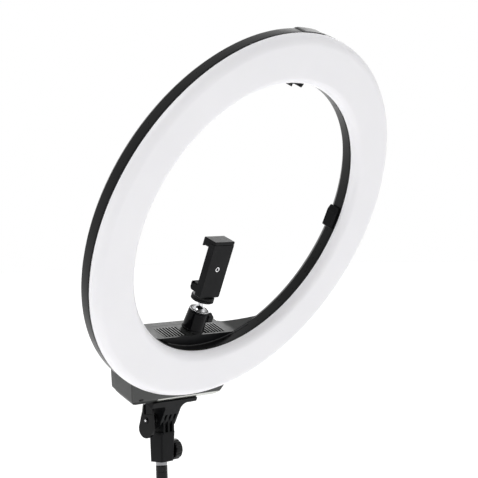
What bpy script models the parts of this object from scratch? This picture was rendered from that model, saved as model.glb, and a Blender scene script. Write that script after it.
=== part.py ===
"""Ring light head on a tilting stand socket, with a ball head and a sprung phone clamp.

World frame: metres, +Z up, the ring faces -Y. The origin is on the stand's axis, at the lower
end of the stand's top tube. Head pieces are placed in the ring's own frame, whose origin is the
ring's centre, with x to the right, y to the back and z up in the plane of the ring.
"""
import math

import bmesh
import bpy
from mathutils import Matrix, Vector

MM = 0.001
GAP = 0.3 * MM

# Stand top and socket
TUBE_RADIUS = 7.4 * MM
TUBE_WALL = 1.2 * MM
TUBE_LENGTH = 120 * MM
SPIGOT_RADIUS = 7.3 * MM
SPIGOT_TOP = 157.5 * MM
SPIGOT_FOOT = 92 * MM
SOCKET_BOTTOM = 125.5 * MM
SOCKET_TOP = 163 * MM
SOCKET_BORE = 7.7 * MM
SOCKET_KNOB_Z = 138 * MM
SOCKET_KNOB_RADIUS = 13.5 * MM

# Tilt hinge: comb fingers on a cross bolt
HINGE_Y = -3 * MM
HINGE_Z = 180 * MM
HEAD_TILT = math.radians(27.5)
HINGE_RADIUS = 12 * MM
FINGER_PITCH = 8 * MM
LOWER_FINGER = 3.2 * MM
UPPER_FINGER = 4.2 * MM
BOLT_RADIUS = 2.4 * MM
BOLT_HOLE = 2.7 * MM

# Ring, in its own frame
HINGE_IN_RING = Vector((0, 22.5 * MM, -289.5 * MM))
RING_OUTER = 240 * MM
RING_INNER = 178.8 * MM
HOUSING_DEPTH = 20 * MM
HOUSING_CHAMFER = 5.6 * MM
HOUSING_WALL = 2.2 * MM
DIFFUSER_RISE = 11.3 * MM
DIFFUSER_OUTER_ROUND = 12.6 * MM
DIFFUSER_INNER_ROUND = 10.8 * MM
DIFFUSER_WALL = 2 * MM
RING_SEGMENTS = 96

# Control box behind and below the ring
SHELF_Z = -164.5 * MM
BOX_BOTTOM = -256.5 * MM
BOX_FRONT = 10 * MM
SHELF_FRONT = 13 * MM
COVER_JOINT = 42 * MM
BOX_BACK = 50 * MM
BOX_WALL = 2.7 * MM
BOX_HALF_TOP = 100 * MM
BOX_HALF_WAIST = 93.5 * MM
BOX_WAIST_Z = -221 * MM
BOX_CORNER = 14 * MM
BOX_CORNER_X = 68.3 * MM
BOX_EDGE = 1.2 * MM
LOWER_CHAMFER = (3 * MM, 6 * MM)
SLOPE_START = 14 * MM
SLOPE_END = 60 * MM
SLOPE_RISE = 7.7 * MM
COVER_HALF_TOP = 64 * MM
VENT_PITCH = 5.3 * MM
VENT_FIRST = 19 * MM
VENT_COUNT = 7
VENT_WIDTH = 2 * MM
VENT_LENGTH = 20 * MM
COVER_SCREWS = ((-56, -176), (56, -176), (-69, -240), (69, -240))

# Controls on the rear cover
KNOB_X = 38 * MM
KNOB_Z = -205 * MM
KNOB_RADIUS = 11 * MM
KNOB_LENGTH = 14 * MM
ROCKER_Z = -200 * MM
ROCKER_PIVOT = 47.5 * MM
ROCKER_TILT = math.radians(8)
INLET_Z = -236 * MM

# Ball head and phone clamp
BALL_X = 3 * MM
BALL_Y = 26 * MM
BALL_Z = -139 * MM
BALL_RADIUS = 9 * MM
BOSS_TOP = -162.5 * MM
CLAMP_LEAN = math.radians(-3.5)
STEM_RADIUS = 3 * MM
CLAMP_WIDTH = 35 * MM
CLAMP_FRONT = -10.5 * MM
CLAMP_REAR = -0.7 * MM
JAW_REACH = 9.5 * MM
CLAMP_FOOT = 23.4 * MM
LOWER_JAW_TOP = 37 * MM
CLAMP_HEAD = 93.5 * MM
UPPER_JAW_TOP = 98 * MM
ROD_X = 11.5 * MM
ROD_Y = -5.6 * MM
ROD_RADIUS = 1.5 * MM

PARTS = "ring_light"
CUTTERS = "cutters"


# ---------------------------------------------------------------- scene helpers
def clear_scene():
    for obj in list(bpy.data.objects):
        bpy.data.objects.remove(obj, do_unlink=True)
    for name in (PARTS, CUTTERS):
        collection = bpy.data.collections.new(name)
        bpy.context.scene.collection.children.link(collection)


def material(name, colour, roughness, metallic=0.0):
    mat = bpy.data.materials.new(name)
    mat.use_nodes = True
    shader = mat.node_tree.nodes["Principled BSDF"]
    shader.inputs["Base Color"].default_value = (*colour, 1)
    shader.inputs["Roughness"].default_value = roughness
    shader.inputs["Metallic"].default_value = metallic
    mat.diffuse_color = (*colour, 1)
    return mat


def frame_empty(name, location, tilt=0.0, parent=None):
    empty = bpy.data.objects.new(name, None)
    bpy.data.collections[PARTS].objects.link(empty)
    empty.parent = parent
    empty.location = location
    empty.rotation_euler = (tilt, 0, 0)
    return empty


def add_object(name, mesh, frame, location=(0, 0, 0), mat=None):
    """Link a mesh as a finished part, or as a hidden cutter when it has no material."""
    obj = bpy.data.objects.new(name, mesh)
    bpy.data.collections[PARTS if mat else CUTTERS].objects.link(obj)
    obj.parent = frame
    obj.location = location
    if mat:
        mesh.materials.append(mat)
        mesh.shade_smooth()
        mesh.set_sharp_from_angle(angle=math.radians(32))
    else:
        obj.hide_render = True
        obj.display_type = 'WIRE'
    return obj


def mesh_from(bm, name):
    bmesh.ops.recalc_face_normals(bm, faces=bm.faces)
    mesh = bpy.data.meshes.new(name)
    bm.to_mesh(mesh)
    bm.free()
    return mesh


AXIS_TURN = {
    'X': Matrix(((0, 0, 1), (1, 0, 0), (0, 1, 0))).to_4x4(),
    'Y': Matrix(((1, 0, 0), (0, 0, 1), (0, -1, 0))).to_4x4(),
    '-Y': Matrix(((1, 0, 0), (0, 0, -1), (0, 1, 0))).to_4x4(),
    'Z': Matrix.Identity(4),
}


# ---------------------------------------------------------------- shapes
def block_mesh(name, size):
    bm = bmesh.new()
    bmesh.ops.create_cube(bm, size=1)
    bmesh.ops.scale(bm, vec=size, verts=bm.verts)
    return mesh_from(bm, name)


def block(name, low, high, frame, mat=None, bevel=0.0):
    """A box between two corners, with optional bevelled edges."""
    low, high = Vector(low), Vector(high)
    obj = add_object(name, block_mesh(name, high - low), frame, (low + high) / 2, mat)
    if bevel:
        add_bevel(obj, bevel)
    return obj


def rod(name, radius, start, length, axis, frame, mat=None, sides=24, end_radius=None):
    """A round bar from start along the axis, tapered when end_radius differs."""
    bm = bmesh.new()
    bmesh.ops.create_cone(bm, cap_ends=True, segments=sides, radius1=radius,
                          radius2=radius if end_radius is None else end_radius, depth=length)
    bmesh.ops.translate(bm, vec=(0, 0, length / 2), verts=bm.verts)
    bmesh.ops.transform(bm, matrix=AXIS_TURN[axis], verts=bm.verts)
    return add_object(name, mesh_from(bm, name), frame, start, mat)


def turned(name, profile, axis, frame, location, mat=None, segments=32, closed=False):
    """A lathe shape: the profile (radius, height) runs down its outer side."""
    mesh = bpy.data.meshes.new(name)
    count = len(profile)
    edges = [(i, (i + 1) % count) for i in range(count if closed else count - 1)]
    mesh.from_pydata([(r, 0, h) for r, h in profile], edges, [])
    obj = add_object(name, mesh, frame, location, mat)
    obj.matrix_basis = Matrix.Translation(location) @ AXIS_TURN[axis]
    screw = obj.modifiers.new("Turn", 'SCREW')
    screw.steps = segments
    screw.render_steps = segments
    screw.use_merge_vertices = True
    screw.merge_threshold = 0.00001
    screw.use_normal_calculate = False
    return obj


def prism(name, outline, depth, axis, frame, location, mat=None):
    """A flat outline with a thickness along the axis; location is the low side's middle."""
    curve = bpy.data.curves.new(name, 'CURVE')
    curve.dimensions = '2D'
    curve.fill_mode = 'BOTH'
    curve.extrude = depth / 2
    spline = curve.splines.new('POLY')
    spline.points.add(len(outline) - 1)
    for point, (a, b) in zip(spline.points, outline):
        point.co = (a, b, 0, 1)
    spline.use_cyclic_u = True
    sketch = bpy.data.objects.new(name + "_sketch", curve)
    bpy.data.collections[CUTTERS].objects.link(sketch)
    graph = bpy.context.evaluated_depsgraph_get()
    flat = bpy.data.meshes.new_from_object(sketch.evaluated_get(graph))
    bm = bmesh.new()
    bm.from_mesh(flat)
    bpy.data.objects.remove(sketch, do_unlink=True)
    bmesh.ops.remove_doubles(bm, verts=bm.verts, dist=1e-6)
    if axis == 'Y':
        outline_turn = Matrix(((1, 0, 0), (0, 0, -1), (0, 1, 0))).to_4x4()
        shift = Vector((0, depth / 2, 0))
    elif axis == 'X':
        outline_turn = AXIS_TURN['X']
        shift = Vector((depth / 2, 0, 0))
    else:
        outline_turn = Matrix.Identity(4)
        shift = Vector((0, 0, depth / 2))
    bmesh.ops.transform(bm, matrix=Matrix.Translation(shift) @ outline_turn, verts=bm.verts)
    return add_object(name, mesh_from(bm, name), frame, location, mat)


def arc(centre, radius, start, end, count):
    """Points on an arc, angles in degrees."""
    points = []
    for i in range(count + 1):
        angle = math.radians(start + (end - start) * i / count)
        points.append((centre[0] + radius * math.cos(angle), centre[1] + radius * math.sin(angle)))
    return points


def mirrored(right_half):
    """Close an outline from its right half, given from the top down to the bottom."""
    return right_half + [(-x, z) for x, z in reversed(right_half)]


# ---------------------------------------------------------------- modifiers
def add_boolean(obj, tool, operation):
    modifier = obj.modifiers.new(tool.name, 'BOOLEAN')
    modifier.operation = operation
    modifier.solver = 'EXACT'
    modifier.object = tool


def cut(obj, *tools):
    for tool in tools:
        add_boolean(obj, tool, 'DIFFERENCE')


def join(obj, *tools):
    for tool in tools:
        add_boolean(obj, tool, 'UNION')


def add_bevel(obj, width, segments=2, angle=40):
    modifier = obj.modifiers.new("Edges", 'BEVEL')
    modifier.width = width
    modifier.segments = segments
    modifier.limit_method = 'ANGLE'
    modifier.angle_limit = math.radians(angle)


# ---------------------------------------------------------------- stand top and socket
def make_stand(mats):
    inner = TUBE_RADIUS - TUBE_WALL
    turned("stand_tube", [(TUBE_RADIUS, TUBE_LENGTH), (TUBE_RADIUS, 0), (inner, 0),
                          (inner, TUBE_LENGTH)],
           'Z', None, (0, 0, 0), mats["tube"], segments=40, closed=True)
    plug = inner - GAP
    chamfer = 0.8 * MM
    turned("stand_spigot",
           [(0, SPIGOT_TOP), (SPIGOT_RADIUS - chamfer, SPIGOT_TOP),
            (SPIGOT_RADIUS, SPIGOT_TOP - chamfer), (SPIGOT_RADIUS, TUBE_LENGTH + GAP),
            (plug, TUBE_LENGTH + GAP), (plug, SPIGOT_FOOT), (0, SPIGOT_FOOT)],
           'Z', None, (0, 0, 0), mats["chrome"], segments=40)


def socket_body(mats):
    """A tapered square socket: wide under the hinge, narrow at its mouth."""
    bm = bmesh.new()
    bmesh.ops.create_cube(bm, size=1)
    for vert in bm.verts:
        top = vert.co.z > 0
        half_x = (12.5 if top else 11) * MM
        half_y = (11.2 if top else 10.4) * MM
        middle_y = HINGE_Y if top else -1.1 * MM
        vert.co = Vector((math.copysign(half_x, vert.co.x),
                          middle_y + math.copysign(half_y, vert.co.y),
                          SOCKET_TOP if top else SOCKET_BOTTOM))
    upright = [e for e in bm.edges if abs(e.verts[0].co.z - e.verts[1].co.z) > 1 * MM]
    bmesh.ops.bevel(bm, geom=upright, offset=2.5 * MM, segments=3, affect='EDGES', profile=0.5)
    return add_object("stand_socket", mesh_from(bm, "stand_socket"), None, (0, 0, 0),
                      mats["black"])


def make_socket(mats):
    socket = socket_body(mats)
    # Three hinge fingers stand on the shoulder, rounded about the tilt axis.
    stack = 2 * FINGER_PITCH + LOWER_FINGER
    root = SOCKET_TOP - HINGE_Z - 2 * MM
    knuckle = [(-HINGE_RADIUS, root), (HINGE_RADIUS, root)] + arc((0, 0), HINGE_RADIUS, 0, 180, 16)
    fingers = prism("socket_fingers", knuckle, stack, 'X', None, (-stack / 2, HINGE_Y, HINGE_Z))
    join(socket, fingers)
    space = FINGER_PITCH - LOWER_FINGER
    for side in (-1, 1):
        middle = side * FINGER_PITCH / 2
        cut(socket, block(f"socket_finger_space_{side}",
                          (middle - space / 2, HINGE_Y - 20 * MM, SOCKET_TOP),
                          (middle + space / 2, HINGE_Y + 20 * MM, HINGE_Z + 20 * MM), None))
    cut(socket,
        rod("socket_bolt_hole", BOLT_HOLE, (-20 * MM, HINGE_Y, HINGE_Z), 40 * MM, 'X', None,
            sides=16),
        rod("socket_bore", SOCKET_BORE, (0, 0, SOCKET_BOTTOM - 1 * MM),
            SPIGOT_TOP - SOCKET_BOTTOM + 1.5 * MM, 'Z', None, sides=40),
        rod("socket_insert_hole", 4.3 * MM, (5 * MM, 0, SOCKET_KNOB_Z), 10 * MM, 'X', None,
            sides=16))
    axis = (0, 0, SOCKET_KNOB_Z)
    turned("socket_insert", [(4 * MM, 11 * MM), (4 * MM, 8.4 * MM), (2.3 * MM, 8.4 * MM),
                             (2.3 * MM, 11 * MM)],
           'X', None, axis, mats["brass"], segments=16, closed=True)
    rod("socket_knob_screw", 2 * MM, (7.7 * MM, 0, SOCKET_KNOB_Z), 13 * MM, 'X', None,
        mats["steel"], sides=16)
    make_lobed_knob("socket_knob", axis, mats["black"])


def make_lobed_knob(name, axis_point, mat):
    """Round hand knob on a neck, with scalloped grip flutes round its rim."""
    face, back, neck_end = 27.5 * MM, 15.5 * MM, 11.9 * MM
    knob = turned(name,
                  [(0, face), (SOCKET_KNOB_RADIUS - 2 * MM, face),
                   (SOCKET_KNOB_RADIUS, face - 2 * MM), (SOCKET_KNOB_RADIUS, back + 1 * MM),
                   (SOCKET_KNOB_RADIUS - 1 * MM, back), (6 * MM, back), (6 * MM, neck_end),
                   (2.3 * MM, neck_end), (2.3 * MM, 21.2 * MM), (0, 21.2 * MM)],
                  'X', None, axis_point, mat, segments=40)
    flutes = bmesh.new()
    count = 10
    for i in range(count):
        angle = 2 * math.pi * (i + 0.5) / count
        reach = SOCKET_KNOB_RADIUS + 1.3 * MM
        spot = Matrix.Translation((21 * MM, reach * math.cos(angle), reach * math.sin(angle)))
        bmesh.ops.create_cone(flutes, cap_ends=True, segments=12, radius1=2.4 * MM,
                              radius2=2.4 * MM, depth=20 * MM,
                              matrix=spot @ Matrix.Rotation(math.pi / 2, 4, 'Y'))
    cut(knob, add_object(name + "_flutes", mesh_from(flutes, name + "_flutes"), None, axis_point))


# ---------------------------------------------------------------- tilt bracket
def bracket_front_outline():
    """T seen from the front: a flange over the neck, with a wide fillet on the right."""
    top, under_right, under_left = -250 * MM, -262 * MM, -264.5 * MM
    half_flange, half_neck = 39.5 * MM, FINGER_PITCH * 1.5 + UPPER_FINGER / 2
    wide, tight = 9 * MM, 3 * MM
    foot, draft = -279 * MM, 0.4 * MM
    right = arc((half_neck + wide, under_right - wide), wide, 90, 180, 8)
    left = arc((-half_neck - tight, under_left - tight), tight, 0, 90, 4)
    return ([(-half_flange, top), (half_flange, top), (half_flange, under_right + draft)] + right
            + [(half_neck, foot), (-half_neck, foot)] + left
            + [(-half_flange, under_left + draft)])


def make_bracket(ring, mats):
    depth = 2 * HINGE_RADIUS + 0.4 * MM
    front = HINGE_IN_RING.y - depth / 2
    bracket = prism("tilt_bracket", bracket_front_outline(), depth, 'Y', ring, (0, front, 0),
                    mats["black"])
    cut(bracket, slope_tool("flange_slope", ring, gap=GAP, above=True))
    half = FINGER_PITCH * 1.5 + UPPER_FINGER / 2 - 0.1 * MM
    knuckle = [(HINGE_RADIUS, 14 * MM), (-HINGE_RADIUS, 14 * MM)]
    knuckle += arc((0, 0), HINGE_RADIUS, 180, 360, 16)
    lower = prism("bracket_knuckle", knuckle, 2 * half, 'X', ring, HINGE_IN_RING - Vector((half, 0, 0)))
    join(bracket, lower)
    space = FINGER_PITCH - UPPER_FINGER
    for index in (-1, 0, 1):
        middle = index * FINGER_PITCH
        cut(bracket, block(f"bracket_finger_space_{index + 2}",
                           (middle - space / 2, front - 5 * MM, -310 * MM),
                           (middle + space / 2, front + depth + 5 * MM,
                            HINGE_IN_RING.z + HINGE_RADIUS + 0.7 * MM), ring))
    cut(bracket, rod("bracket_bolt_hole", BOLT_HOLE, HINGE_IN_RING - Vector((20 * MM, 0, 0)),
                     40 * MM, 'X', ring, sides=16))
    for number, (x, y) in enumerate(bracket_screw_places(), 1):
        seat = (-264.5 if x < 0 else -262) * MM
        cut(bracket, rod(f"bracket_screw_hole_{number}", 1.8 * MM, (x, y, -268 * MM), 20 * MM,
                         'Z', ring, sides=12))
        make_screw(f"bracket_screw_{number}", (x, y, seat - GAP), 'Z', ring, mats["steel"],
                   head=2.9 * MM, shank=11.5 * MM)
    return bracket


def bracket_screw_places():
    return [(x * MM, y * MM) for x in (-31, 31) for y in (16, 29)]


def make_screw(name, seat, axis, frame, mat, head, shank):
    """Pan-head screw whose shank points along the axis from its seat."""
    rise, rim = 1.8 * MM, 0.5 * MM
    turned(name, [(0, shank), (1.4 * MM, shank), (1.4 * MM, 0), (head, 0),
                  (head, -rise + rim), (head - rim, -rise), (0, -rise)],
           axis, frame, seat, mat, segments=12)


def make_tilt_bolt(tilt, mats):
    """Cross bolt through the comb hinge, its washer, and the locking lever on its left end."""
    head_seat = FINGER_PITCH * 1.5 + UPPER_FINGER / 2 + GAP
    hexagon = rod("tilt_bolt", 5 * MM, (head_seat, 0, 0), 3.6 * MM, 'X', tilt, mats["steel"],
                  sides=6)
    join(hexagon, rod("tilt_bolt_shank", BOLT_RADIUS, (-23 * MM, 0, 0),
                      23 * MM + head_seat + 1 * MM, 'X', tilt, sides=16))
    turned("tilt_washer", [(6.5 * MM, 1 * MM), (6.5 * MM, 0), (BOLT_HOLE, 0), (BOLT_HOLE, 1 * MM)],
           'X', tilt, (-head_seat - 1 * MM, 0, 0), mats["steel"], segments=20, closed=True)


def lever_outline():
    """Side view: a round grip hanging under the bolt and a narrower paddle standing above it."""
    grip = arc((1.4 * MM, -10.5 * MM), 12.2 * MM, 180, 385, 20)
    paddle = [(9.6 * MM, 3.5 * MM), (7.2 * MM, 11 * MM), (5.8 * MM, 19 * MM),
              (4.3 * MM, 20.5 * MM), (-6.5 * MM, 20.5 * MM), (-9 * MM, 18.5 * MM),
              (-10 * MM, 6 * MM)]
    return grip + paddle


def make_lever(mats):
    place = (0, HINGE_Y, HINGE_Z)
    plate_in, plate_out = -23.6 * MM, -27.8 * MM
    hub_in = -(FINGER_PITCH * 1.5 + UPPER_FINGER / 2 + 2 * GAP + 1 * MM)
    lever = prism("tilt_lever", lever_outline(), plate_in - plate_out, 'X', None,
                  (plate_out, HINGE_Y, HINGE_Z), mats["black"])
    join(lever, rod("lever_hub", 6.9 * MM, (plate_in - 1 * MM, HINGE_Y, HINGE_Z),
                    hub_in - plate_in + 1 * MM, 'X', None, sides=24))
    cut(lever,
        rod("lever_bolt_hole", BOLT_HOLE, (-24 * MM, HINGE_Y, HINGE_Z), 20 * MM, 'X', None,
            sides=16),
        rod("lever_cap_seat", 4.2 * MM, (-30 * MM, HINGE_Y, HINGE_Z), 3.4 * MM, 'X', None,
            sides=20))
    # The paddle's outer face is sunk, which leaves a raised rim along its rear edge.
    cut(lever, block("lever_recess", (-30 * MM, HINGE_Y - 14 * MM, HINGE_Z + 7.5 * MM),
                     (plate_out + 1.6 * MM, HINGE_Y + 3.2 * MM, HINGE_Z + 24 * MM), None))
    turned("lever_cap", [(0, -26.9 * MM), (3.9 * MM, -26.9 * MM), (3.9 * MM, -28 * MM),
                         (3 * MM, -29 * MM), (0, -29.6 * MM)],
           'X', None, place, mats["chrome"], segments=20)


# ---------------------------------------------------------------- ring
def quarter_round(outer_radius, inner_radius, rise, count):
    """Profile of a rounded shoulder from (outer_radius, 0) to (inner_radius, rise)."""
    points = []
    for i in range(count + 1):
        angle = math.pi / 2 * i / count
        points.append((inner_radius + (outer_radius - inner_radius) * math.cos(angle),
                       rise * math.sin(angle)))
    return points


def make_ring(ring, mats):
    outer_top = RING_OUTER - DIFFUSER_OUTER_ROUND
    inner_top = RING_INNER + DIFFUSER_INNER_ROUND
    wall = DIFFUSER_WALL
    outside = quarter_round(RING_OUTER, outer_top, DIFFUSER_RISE, 6)[::-1]
    inside = quarter_round(RING_INNER, inner_top, DIFFUSER_RISE, 6)
    under_inner = quarter_round(RING_INNER + wall, inner_top, DIFFUSER_RISE - wall, 4)
    under_outer = quarter_round(RING_OUTER - wall, outer_top, DIFFUSER_RISE - wall, 4)[::-1]
    turned("diffuser", outside + under_outer[::-1] + under_inner[::-1] + inside, '-Y', ring,
           (0, 0, 0), mats["opal"], segments=RING_SEGMENTS, closed=True)
    back, slope = -HOUSING_DEPTH, HOUSING_CHAMFER
    floor = back + 2.5 * MM
    lip = -GAP
    turned("ring_housing",
           [(RING_OUTER, lip), (RING_OUTER, back + slope), (RING_OUTER - slope, back),
            (RING_INNER + slope, back), (RING_INNER, back + slope), (RING_INNER, lip),
            (RING_INNER + HOUSING_WALL, lip), (RING_INNER + HOUSING_WALL, back + slope),
            (RING_INNER + slope, floor), (RING_OUTER - slope, floor),
            (RING_OUTER - HOUSING_WALL, back + slope), (RING_OUTER - HOUSING_WALL, lip)],
           '-Y', ring, (0, 0, 0), mats["black"], segments=RING_SEGMENTS, closed=True)
    board = floor + GAP
    turned("led_board",
           [(RING_OUTER - 7 * MM, board + 1.6 * MM), (RING_OUTER - 7 * MM, board),
            (RING_INNER + 7 * MM, board), (RING_INNER + 7 * MM, board + 1.6 * MM)],
           '-Y', ring, (0, 0, 0), mats["board"], segments=64, closed=True)


def rim_block_outline():
    """Accessory block on the inner rim, seen along the depth: long bevel on one end."""
    low, high = -17 * MM, 11.4 * MM
    seat, face = RING_INNER - 0.4 * MM, RING_INNER - 6 * MM
    root = [low + (high - low) * i / 5 for i in range(5, -1, -1)]
    return [(low, face + 1 * MM), (low + 1 * MM, face), (high - 5.8 * MM, face),
            (high, seat - 2.4 * MM)] + [(t, math.sqrt(seat ** 2 - t ** 2)) for t in root]


def make_rim_blocks(ring, mats):
    """Accessory blocks at three and nine o'clock on the inner rim, and a clip at twelve."""
    front, depth = 2.4 * MM, 15.2 * MM
    outline = rim_block_outline()
    right = [(r, t) for t, r in outline][::-1]
    left = [(-r, t) for t, r in outline]
    prism("rim_block_right", right, depth, 'Y', ring, (0, front, 0), mats["black"])
    prism("rim_block_left", left, depth, 'Y', ring, (0, front, 0), mats["black"])
    prism("rim_block_top", clip_outline(), 12 * MM, 'Y', ring, (0, 0.8 * MM, 0), mats["black"])


def clip_outline():
    """Clip under the rim's top seen from the front: a base strip with an ear at each end."""
    seat, underside, ear_tip = 177.6 * MM, 176.2 * MM, 172.4 * MM
    left, right = -6 * MM, 17.3 * MM
    return [(left, seat), (right, seat), (right, underside), (right - 2.2 * MM, ear_tip),
            (right - 3.6 * MM, ear_tip), (right - 3.7 * MM, underside + 0.01 * MM),
            (left + 3.4 * MM, underside), (left + 3.3 * MM, ear_tip + 0.4 * MM),
            (left + 2.4 * MM, ear_tip + 0.4 * MM), (left, underside - 0.2 * MM)]


def make_top_bracket(ring, mats):
    """Curved plate on the back of the ring at twelve o'clock, with a lip over the outer rim."""
    back, over = HOUSING_DEPTH + GAP, RING_OUTER + GAP
    bend, lip = HOUSING_CHAMFER - 0.2 * MM, 0.7 * MM
    profile = [(over + lip, -1 * MM), (over + lip, bend - back - 0.6 * MM),
               (over - bend - 0.6 * MM, -back - 2.5 * MM), (174 * MM, -back - 2.5 * MM),
               (172 * MM, -back), (over - bend, -back), (over, bend - back), (over, -1 * MM)]
    bracket = turned("top_bracket", profile, '-Y', ring, (0, 0, 0), mats["black"],
                     segments=RING_SEGMENTS, closed=True)
    side = block("top_bracket_width", (-15 * MM, -5 * MM, 150 * MM), (26 * MM, 40 * MM, 260 * MM),
                 ring)
    add_boolean(bracket, side, 'INTERSECT')


# ---------------------------------------------------------------- control box
def box_outline():
    """Front view: flat shelf on top, arcs along the ring's inner rim, sides drawn in below."""
    shelf_half = math.sqrt(RING_INNER ** 2 - SHELF_Z ** 2)
    start = math.degrees(math.atan2(SHELF_Z, shelf_half))
    right = arc((0, 0), RING_INNER, start, -54, 9)
    right += [(BOX_HALF_TOP, -160 * MM), (BOX_HALF_TOP, -200 * MM), (BOX_HALF_WAIST, BOX_WAIST_Z)]
    right += arc((BOX_CORNER_X, BOX_BOTTOM + BOX_CORNER), BOX_CORNER, -25, -90, 6)
    return mirrored(right)


def cavity_outline():
    right = [(62 * MM, SHELF_Z - BOX_WALL), (80 * MM, -205 * MM), (80 * MM, -232 * MM),
             (67 * MM, -249 * MM)]
    return mirrored(right)


def lens_outline():
    """Space under the front of the shelf, bounded by the ring's inner circle."""
    radius = RING_INNER - 3.3 * MM
    top = SHELF_Z - BOX_WALL
    angle = math.degrees(math.asin(top / radius))
    return arc((0, 0), radius, -180 - angle, angle, 14)


def make_vent_tool(name, side, ring):
    """A row of slot cutters through the shelf."""
    slots = bmesh.new()
    for i in range(VENT_COUNT):
        place = Matrix.Translation((side * (VENT_FIRST + i * VENT_PITCH), 26 * MM,
                                    SHELF_Z - 1 * MM))
        size = Matrix.Diagonal((VENT_WIDTH, VENT_LENGTH, 6 * MM, 1))
        bmesh.ops.create_cube(slots, size=1, matrix=place @ size)
    return add_object(name, mesh_from(slots, name), ring)


def make_flank_tool(name, side, ring):
    """Half space that slopes the box's rear flank down to the back of the ring."""
    crease_top = Vector((66 * MM, COVER_JOINT, SHELF_Z))
    crease_low = Vector((96 * MM, COVER_JOINT, -222 * MM))
    rim_point = Vector((98 * MM, HOUSING_DEPTH, -150 * MM))
    normal = (crease_low - crease_top).cross(rim_point - crease_top).normalized()
    if normal.y < 0:
        normal = -normal
    if side < 0:
        normal.x = -normal.x
        crease_top.x = -crease_top.x
    bm = bmesh.new()
    bmesh.ops.create_cube(bm, size=1)
    bmesh.ops.scale(bm, vec=(0.3, 0.3, 0.05), verts=bm.verts)
    bmesh.ops.translate(bm, vec=(0, 0, 0.025), verts=bm.verts)
    turn = normal.to_track_quat('Z', 'Y').to_matrix().to_4x4()
    bmesh.ops.transform(bm, matrix=Matrix.Translation(crease_top) @ turn, verts=bm.verts)
    return add_object(name, mesh_from(bm, name), ring)


def round_front_edges(box):
    """Bevel the front edges of the part that shows below the ring."""
    bm = bmesh.new()
    bm.from_mesh(box.data)
    front = min(v.co.y for v in bm.verts) + 0.1 * MM
    edges = [e for e in bm.edges
             if all(v.co.y < front and v.co.z < -198 * MM for v in e.verts)
             and len(e.link_faces) == 2 and e.calc_face_angle(0) > 1]
    bmesh.ops.bevel(bm, geom=edges, offset=BOX_EDGE, segments=2, affect='EDGES', profile=0.5)
    bm.to_mesh(box.data)
    bm.free()


def make_control_box(ring, mats):
    depth = COVER_JOINT - BOX_FRONT
    box = prism("control_box", box_outline(), depth, 'Y', ring, (0, BOX_FRONT, 0), mats["grey"])
    round_front_edges(box)
    inward, upward = LOWER_CHAMFER
    side = [(BOX_FRONT - inward, BOX_BOTTOM + 2 * upward), (BOX_FRONT - inward, BOX_BOTTOM - upward),
            (BOX_FRONT + 2 * inward, BOX_BOTTOM - upward)]
    cut(box, prism("lower_chamfer", side, 240 * MM, 'X', ring, (-120 * MM, 0, 0)),
        make_flank_tool("flank_right", 1, ring), make_flank_tool("flank_left", -1, ring))
    cavity_front = HOUSING_DEPTH + GAP + BOX_WALL
    cut(box, prism("box_cavity", cavity_outline(), 30 * MM, 'Y', ring, (0, cavity_front, 0)))
    # The ring passes through the front of the box.
    inner, outer = RING_INNER - 0.8 * MM, RING_OUTER + GAP
    front, back = -5 * MM, HOUSING_DEPTH + GAP
    slope = HOUSING_CHAMFER + 0.6 * MM
    cut(box, turned("ring_space", [(outer, -front), (outer, -back), (inner + slope, -back),
                                   (inner, slope - back), (inner, -front)],
                    '-Y', ring, (0, 0, 0), segments=RING_SEGMENTS, closed=True))
    cut(box, rod("shelf_front_space", 200 * MM, (0, 0, 0), SHELF_FRONT, 'Y', ring, sides=64))
    lens_front = SHELF_FRONT + 2.5 * MM
    cut(box, prism("lens_cavity", lens_outline(), cavity_front + 1 * MM - lens_front, 'Y', ring,
                   (0, lens_front, 0)))
    cut(box, slope_tool("box_slope", ring))
    # Boss under the ball head, posts for the board and the rear cover's screws.
    join(box, rod("shelf_boss", 13.5 * MM, (BALL_X, BALL_Y, SHELF_Z - 1 * MM),
                  BOSS_TOP - SHELF_Z + 1 * MM, 'Z', ring, sides=32))
    for number, (x, z) in enumerate(COVER_SCREWS, 1):
        join(box, rod(f"screw_post_{number}", 4 * MM, (x * MM, cavity_front - 1 * MM, z * MM),
                      COVER_JOINT - cavity_front + 1 * MM, 'Y', ring, sides=12))
        cut(box, rod(f"screw_post_hole_{number}", 1.7 * MM, (x * MM, 30 * MM, z * MM), 20 * MM,
                     'Y', ring, sides=10))
    cut(box, make_vent_tool("vents_right", 1, ring), make_vent_tool("vents_left", -1, ring))
    cut(box, rod("ball_screw_hole", 3.4 * MM, (BALL_X, BALL_Y, SHELF_Z - 10 * MM), 20 * MM, 'Z',
                 ring, sides=16))
    for number, (x, y) in enumerate(bracket_screw_places(), 1):
        cut(box, rod(f"box_foot_hole_{number}", 1.8 * MM, (x, y, BOX_BOTTOM - 5 * MM), 14 * MM,
                     'Z', ring, sides=12))


def cover_outline(inset=0.0, lift=0.0):
    right = [(COVER_HALF_TOP - inset, SHELF_Z - inset), (BOX_HALF_WAIST - 0.5 * MM - inset, BOX_WAIST_Z)]
    right += arc((BOX_CORNER_X - 1 * MM, BOX_BOTTOM + BOX_CORNER + lift), BOX_CORNER - inset,
                 -25, -90, 6)
    return mirrored(right)


def slope_tool(name, ring, gap=0.0, above=False):
    """Everything under (or above) the box's bottom, which rises slightly to the rear."""
    low, high = BOX_BOTTOM - gap, BOX_BOTTOM - gap + SLOPE_RISE
    if above:
        side = [(5 * MM, low), (SLOPE_START, low), (SLOPE_END, high), (SLOPE_END, -235 * MM),
                (5 * MM, -235 * MM)]
    else:
        side = [(SLOPE_START, low), (SLOPE_END, high), (SLOPE_END, low - 10 * MM),
                (SLOPE_START, low - 10 * MM)]
    return prism(name, side, 240 * MM, 'X', ring, (-120 * MM, 0, 0))


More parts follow.
